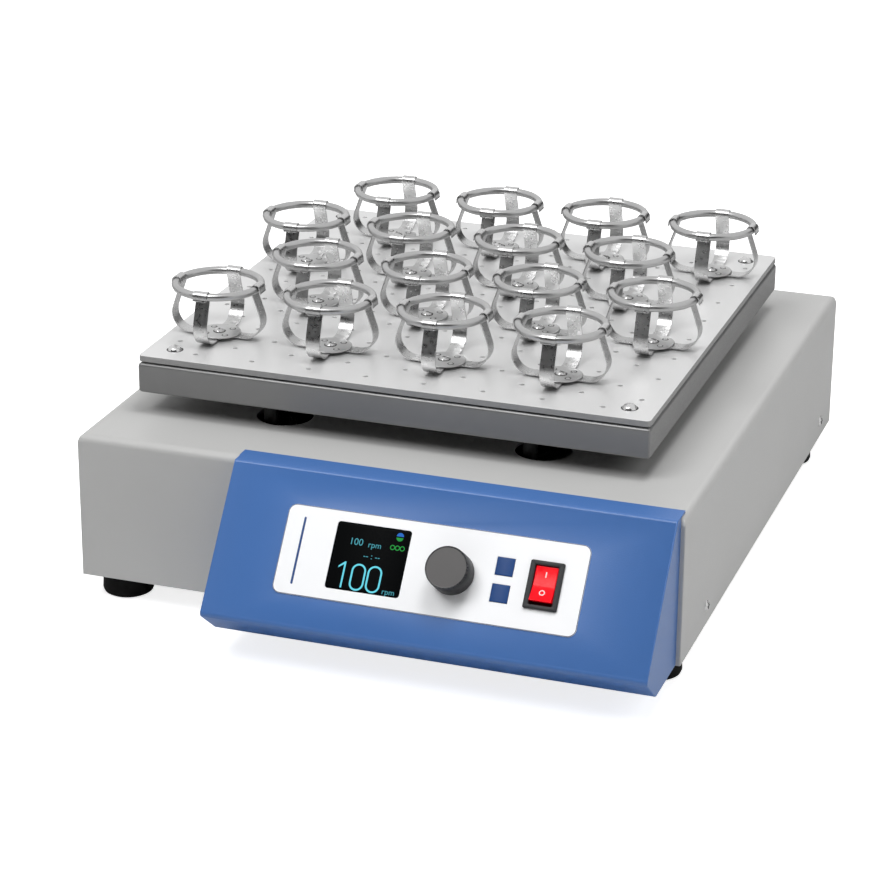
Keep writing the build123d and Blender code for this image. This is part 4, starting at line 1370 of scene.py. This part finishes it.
class SHAKER_OT_clamps(ShakerPiece, bpy.types.Operator):
    """Model the sixteen flask clamps: two crossed strips, a disc and its screw each."""

    bl_idname = "shaker.clamps"
    bl_label = "Flask clamps"

    def execute(self, context):
        sizes = context.scene.shaker_clamps
        stand = context.scene.shaker_platform
        plate_top = mm(stand.plate_bottom) + mm(stand.plate_thickness)
        places = [place for row in clamp_places(stand) for place in row]
        finishes = ["bright strip", "clamp disc", "screw steel", "hole shade"]
        for number, (x, y) in enumerate(places, start=1):
            bm = bmesh.new()
            with placed(bm, platform(stand, plate_top) @ at(x, y)):
                self.clamp(bm, sizes)
            node = f"flask_clamp_{number:02d}"
            clamp = settle(bm, f"clamp_{number:02d}", "platform", finishes, [node], 30.0)
            soften(clamp, 0.14, segments=1, angle=50.0)
        return {"FINISHED"}

    @staticmethod
    def strip_outline(sizes):
        """Both faces of a strip with a hooked arm at each end, as (radius, height) points."""
        half = mm(sizes.thickness) / 2
        hook = mm(sizes.wire) + mm(sizes.hook_gap) + half
        bend, seat, flare = mm(sizes.bend), mm(sizes.seat), mm(sizes.flare)
        centre = Vector((mm(sizes.reach) - half - bend, seat + bend))
        ring = Vector((mm(sizes.ring), mm(sizes.ring_height)))
        gap = ring - centre
        lean = atan2(gap.y, gap.x) + asin((bend + hook) / gap.length)
        bend_steps, hook_steps, tip_steps, tip_turn = 10, 12, 3, 0.6
        faces = []
        for shift in (half, -half):
            line = []
            for step in range(bend_steps + 1):
                turn = lean * step / bend_steps
                line.append(centre + Vector((sin(turn), -cos(turn))) * (bend + shift))
            for step in range(hook_steps + 1):
                turn = lean + (-pi / 2 - lean) * step / hook_steps
                line.append(ring + Vector((-sin(turn), cos(turn))) * (hook - shift))
            tip = ring + Vector((hook + flare, -mm(sizes.hook_drop)))
            for step in range(tip_steps + 1):
                turn = tip_turn * step / tip_steps
                line.append(tip - Vector((cos(turn), sin(turn))) * (flare + shift))
            faces.append(line)
        right = faces[0] + faces[1][::-1]
        left = [Vector((-point.x, point.y)) for point in right[::-1]]
        return [tuple(point) for point in right + left]

    def clamp(self, bm, sizes):
        """One clamp, standing on the XY plane."""
        width, seat = mm(sizes.width), mm(sizes.seat)
        disc_bottom = seat + mm(sizes.thickness) / 2
        disc_top = disc_bottom + mm(sizes.disc_thickness)
        outline = self.strip_outline(sizes)
        upright = upended((0, width / 2, 0), (1, 0, 0), (0, 0, 1))
        boss, bore, rivet_place = 9.6, 3.0, 9.6
        with painted(bm, 0):
            for turn in (0.0, pi / 2):
                with placed(bm, turned(turn, "Z") @ upright):
                    prism(bm, outline, width)
            box(bm, boss, boss, seat, (0.0, 0.0, seat / 2))
        radius = mm(sizes.disc)
        with painted(bm, 1):
            lathe(
                bm,
                [
                    (bore, disc_bottom),
                    (radius - 0.25, disc_bottom),
                    (radius, disc_bottom + 0.25),
                    (radius, disc_top - 0.3),
                    (radius - 0.3, disc_top),
                    (bore, disc_top),
                ],
                56,
            )
        for quarter in range(4):
            turn = pi / 4 + quarter * pi / 2
            with placed(bm, turned(turn, "Z") @ at(rivet_place, 0.0, disc_top)):
                with painted(bm, 1):
                    lathe(bm, [(0.0, 0.4), (1.1, 0.36), (1.45, 0.2), (1.6, -0.02)], 14)
                # painted shade line round each rivet's seat
                with painted(bm, 3):
                    seat_shade_ring(bm, 1.65, width=0.55, height=0.03, steps=14)
        screw, shank, depth = mm(sizes.screw_radius), 1.8, 6.5
        with painted(bm, 2), placed(bm, at(z=disc_top)):
            lathe(
                bm,
                [
                    (0.0, 1.75),
                    (screw * 0.5, 1.65),
                    (screw * 0.85, 1.15),
                    (screw, 0.35),
                    (screw, -0.1),
                    (shank, -0.1),
                    (shank, -disc_top - depth),
                    (0.0, -disc_top - depth),
                ],
                20,
            )
        # painted shade round the screw's seat and in its cross recess
        with painted(bm, 3), placed(bm, at(z=disc_top) @ turned(0.5, "Z")):
            seat_shade_ring(bm, screw, width=0.7, height=0.04, steps=20)
            cross_recess_shade(bm, 2.4, width=0.7, level=1.62)


class SHAKER_OT_rings(ShakerPiece, bpy.types.Operator):
    """Model the spring rings that the clamps' hooks hold, a piece for each row."""

    bl_idname = "shaker.rings"
    bl_label = "Spring rings"

    def execute(self, context):
        sizes = context.scene.shaker_clamps
        stand = context.scene.shaker_platform
        plate_top = mm(stand.plate_bottom) + mm(stand.plate_thickness)
        ring, wire, rise = mm(sizes.ring), mm(sizes.wire), mm(sizes.ring_height)
        for number, row in enumerate(clamp_places(stand), start=1):
            bm = bmesh.new()
            around = bm.loops.layers.uv.new("coil")
            for x, y in row:
                before = set(bm.faces)
                with placed(bm, platform(stand, plate_top + rise) @ at(x, y)):
                    section = bmesh.ops.create_circle(
                        bm, segments=14, radius=wire, matrix=at(ring) @ turned(pi / 2, "X")
                    )["verts"]
                    edges = list(dict.fromkeys(e for vert in section for e in vert.link_edges))
                    bmesh.ops.spin(
                        bm,
                        geom=section + edges,
                        cent=(0, 0, 0),
                        axis=(0, 0, 1),
                        angle=2 * pi,
                        steps=72,
                        use_merge=True,
                    )
                    for face in bm.faces:
                        if face not in before:
                            self.unroll(face, around, ring)
            node = f"spring_rings_row_{number}"
            settle(bm, f"rings_row_{number}", "platform", ["spring coil"], [node], 60.0)
        return {"FINISHED"}

    @staticmethod
    def unroll(face, around, ring):
        """Map a face by its turn round the ring and its turn round the coil."""
        middle = face.calc_center_median()
        for loop in face.loops:
            point = loop.vert.co
            turns = []
            for spot in (point, middle):
                out = hypot(spot.x, spot.y) - ring
                turns.append((atan2(spot.y, spot.x) / (2 * pi), atan2(spot.z, out) / (2 * pi)))
            loop[around].uv = [turn - round(turn - near) for turn, near in zip(*turns)]


class SHAKER_OT_works(ShakerPiece, bpy.types.Operator):
    """Finish the drive, the board and the supply inside the casing."""

    bl_idname = "shaker.works"
    bl_label = "Inner works"

    def execute(self, context):
        for node, finish_name in {
            "control_board": "circuit board",
            "power_supply": "milled aluminium",
            "main_bearing_block": "cast iron",
            "main_crank": "turned steel",
            "drive_pulley": "milled aluminium",
            "counterweight": "cast iron",
            "drive_motor": "motor black",
            "motor_bracket": "turned steel",
            "motor_pulley": "milled aluminium",
            "drive_belt": "belt rubber",
            "corner_bearing_blocks": "milled aluminium",
            "corner_crank_front_left": "oiled steel",
            "corner_crank_rear_left": "oiled steel",
            "corner_crank_front_right": "oiled steel",
            "corner_crank_rear_right": "oiled steel",
        }.items():
            coat_node(node, finish_name)
        return {"FINISHED"}


class SHAKER_OT_stage(ShakerPiece, bpy.types.Operator):
    """Set the floor, the light and the camera."""

    bl_idname = "shaker.stage"
    bl_label = "Stage"

    def execute(self, context):
        scene = context.scene
        settings = scene.shaker_stage
        scene.view_settings.view_transform = "Standard"
        self.floor()
        self.curtains()
        self.surround(scene, settings.surround)
        self.lamp("overhead", (0.45, -0.35, 2.4), 0.9, settings.overhead, False)
        self.lamp("front_light", (-0.6, -1.4, 2.3), 1.2, settings.front, True)
        self.lamp("side_light", (2.2, 0.3, 1.8), 1.4, settings.side, False)
        self.camera(scene, settings)
        return {"FINISHED"}

    @staticmethod
    def curtains():
        """Dark curtains in front and at the right rear, which only polished surfaces show."""
        away, thickness = 3.3, 0.02
        bm = bmesh.new()
        for bearing, width, height in ((0.0, 7.0, 3.6), (2.55, 3.4, 1.5)):
            with placed(bm, turned(bearing, "Z") @ at(0.0, -away, height / 2)):
                box(bm, width, thickness, height, (0.0, 0.0, 0.0))
        graph = Graph("dark curtain")
        cloth = graph.noise(30.0)
        dark = graph.mix(cloth, (0.02, 0.02, 0.02, 1.0), (0.04, 0.04, 0.04, 1.0))
        curtains = stage_piece(bm, "curtains", graph.finish(dark, 0.9))
        curtains.visible_camera = False
        curtains.visible_diffuse = False
        curtains.visible_shadow = False

    @staticmethod
    def floor():
        """A pale floor that keeps the shadow and is white where nothing shades it."""
        bm = bmesh.new()
        bmesh.ops.create_grid(bm, x_segments=1, y_segments=1, size=9.0)
        graph = Graph("pale floor")
        drift = graph.noise(1.5)
        tone = graph.mix(drift, (0.80, 0.80, 0.80, 1.0), (0.82, 0.82, 0.82, 1.0))
        matt = graph.add("ShaderNodeBsdfDiffuse", {}, {"Color": tone}, "BSDF")
        lift = graph.add("ShaderNodeEmission", {}, {"Color": WHITE, "Strength": 0.8})
        both = graph.add("ShaderNodeAddShader", {}, {0: matt, 1: lift})
        seen = graph.add("ShaderNodeLightPath", {}, {}, "Is Camera Ray")
        mixed = graph.add("ShaderNodeMixShader", {}, {0: seen, 1: matt, 2: both})
        graph.add("ShaderNodeOutputMaterial", {}, {"Surface": mixed})
        floor = stage_piece(bm, "floor", graph.owner)

    @staticmethod
    def surround(scene, strength):
        """A white backdrop for the camera and for metal, and a softer light for the rest."""
        graph = Graph("surround", world=True)
        clear = graph.add("ShaderNodeLightPath", {}, {}, "Is Camera Ray")
        for ray in ("Is Glossy Ray", "Is Transmission Ray"):
            clear = clear.math("MAXIMUM", clear, graph.add("ShaderNodeLightPath", {}, {}, ray))
        inputs = {"Color": WHITE, "Strength": graph.ramp(clear, strength, 1.0)}
        light = graph.add("ShaderNodeBackground", {}, inputs)
        graph.add("ShaderNodeOutputWorld", {}, {"Surface": light})
        scene.world = graph.owner

    @staticmethod
    def lamp(name, place, size, power, mirrored):
        """A soft light that looks at the object, and that polished surfaces may mirror."""
        light = bpy.data.lights.new(name, "AREA")
        light.size = size
        light.energy = power
        lamp = bpy.data.objects.new(name, light)
        lamp.visible_glossy = mirrored
        lamp.location = place
        target = Vector((0.0, 0.0, 0.1))
        aim = target - Vector(place)
        lamp.rotation_mode = "QUATERNION"
        lamp.rotation_quaternion = aim.to_track_quat("-Z", "Y")
        bpy.context.scene.collection.objects.link(lamp)

    @staticmethod
    def camera(scene, settings):
        """The camera, turned round its target as the settings say."""
        turn, rise, roll = settings.azimuth, settings.elevation, settings.roll
        back = Vector((sin(turn) * cos(rise), -cos(turn) * cos(rise), sin(rise)))
        right = Vector((cos(turn), sin(turn), 0.0))
        up = back.cross(right)
        across = right * cos(roll) + up * sin(roll)
        upright = up * cos(roll) - right * sin(roll)
        data = bpy.data.cameras.new("camera")
        data.sensor_width = 36.0
        data.lens = settings.lens
        data.clip_start, data.clip_end = 0.05, 100.0
        camera = bpy.data.objects.new("camera", data)
        pose = Matrix((across, upright, back)).transposed().to_4x4()
        pose.translation = Vector(settings.target) + back * settings.distance
        camera.matrix_world = pose
        scene.collection.objects.link(camera)
        scene.camera = camera


GROUPS = {
    "shaker_casing": CasingSizes,
    "shaker_console": ConsoleSizes,
    "shaker_platform": PlatformSizes,
    "shaker_clamps": ClampSizes,
    "shaker_colours": ShakerColours,
    "shaker_stage": StageSettings,
}

OPERATORS = (
    SHAKER_OT_casing,
    SHAKER_OT_console,
    SHAKER_OT_panel,
    SHAKER_OT_knob,
    SHAKER_OT_switch,
    SHAKER_OT_platform,
    SHAKER_OT_clamps,
    SHAKER_OT_rings,
    SHAKER_OT_works,
    SHAKER_OT_stage,
)


class SHAKER_PT_pieces(bpy.types.Panel):
    """The shaker's pieces and their sizes and colours."""

    bl_label = "Orbital shaker"
    bl_idname = "SHAKER_PT_pieces"
    bl_space_type = "VIEW_3D"
    bl_region_type = "UI"
    bl_category = "Shaker"

    def draw(self, context):
        for operator in OPERATORS:
            self.layout.operator(operator.bl_idname)
        for attribute, group in GROUPS.items():
            rows = self.layout.box()
            for name in group.__annotations__:
                rows.prop(getattr(context.scene, attribute), name)


def register():
    """Register the groups, the operators and the panel."""
    for attribute, group in GROUPS.items():
        bpy.utils.register_class(group)
        setattr(bpy.types.Scene, attribute, PointerProperty(type=group))
    for operator in OPERATORS:
        bpy.utils.register_class(operator)
    bpy.utils.register_class(SHAKER_PT_pieces)


def unregister():
    """Take them out again."""
    bpy.utils.unregister_class(SHAKER_PT_pieces)
    for operator in reversed(OPERATORS):
        bpy.utils.unregister_class(operator)
    for attribute, group in GROUPS.items():
        delattr(bpy.types.Scene, attribute)
        bpy.utils.unregister_class(group)


def main():
    """Make every piece in order."""
    register()
    bpy.ops.shaker.casing()
    bpy.ops.shaker.console()
    bpy.ops.shaker.panel()
    bpy.ops.shaker.knob()
    bpy.ops.shaker.switch()
    bpy.ops.shaker.platform()
    bpy.ops.shaker.clamps()
    bpy.ops.shaker.rings()
    bpy.ops.shaker.works()
    bpy.ops.shaker.stage()


if __name__ == "__main__":
    main()
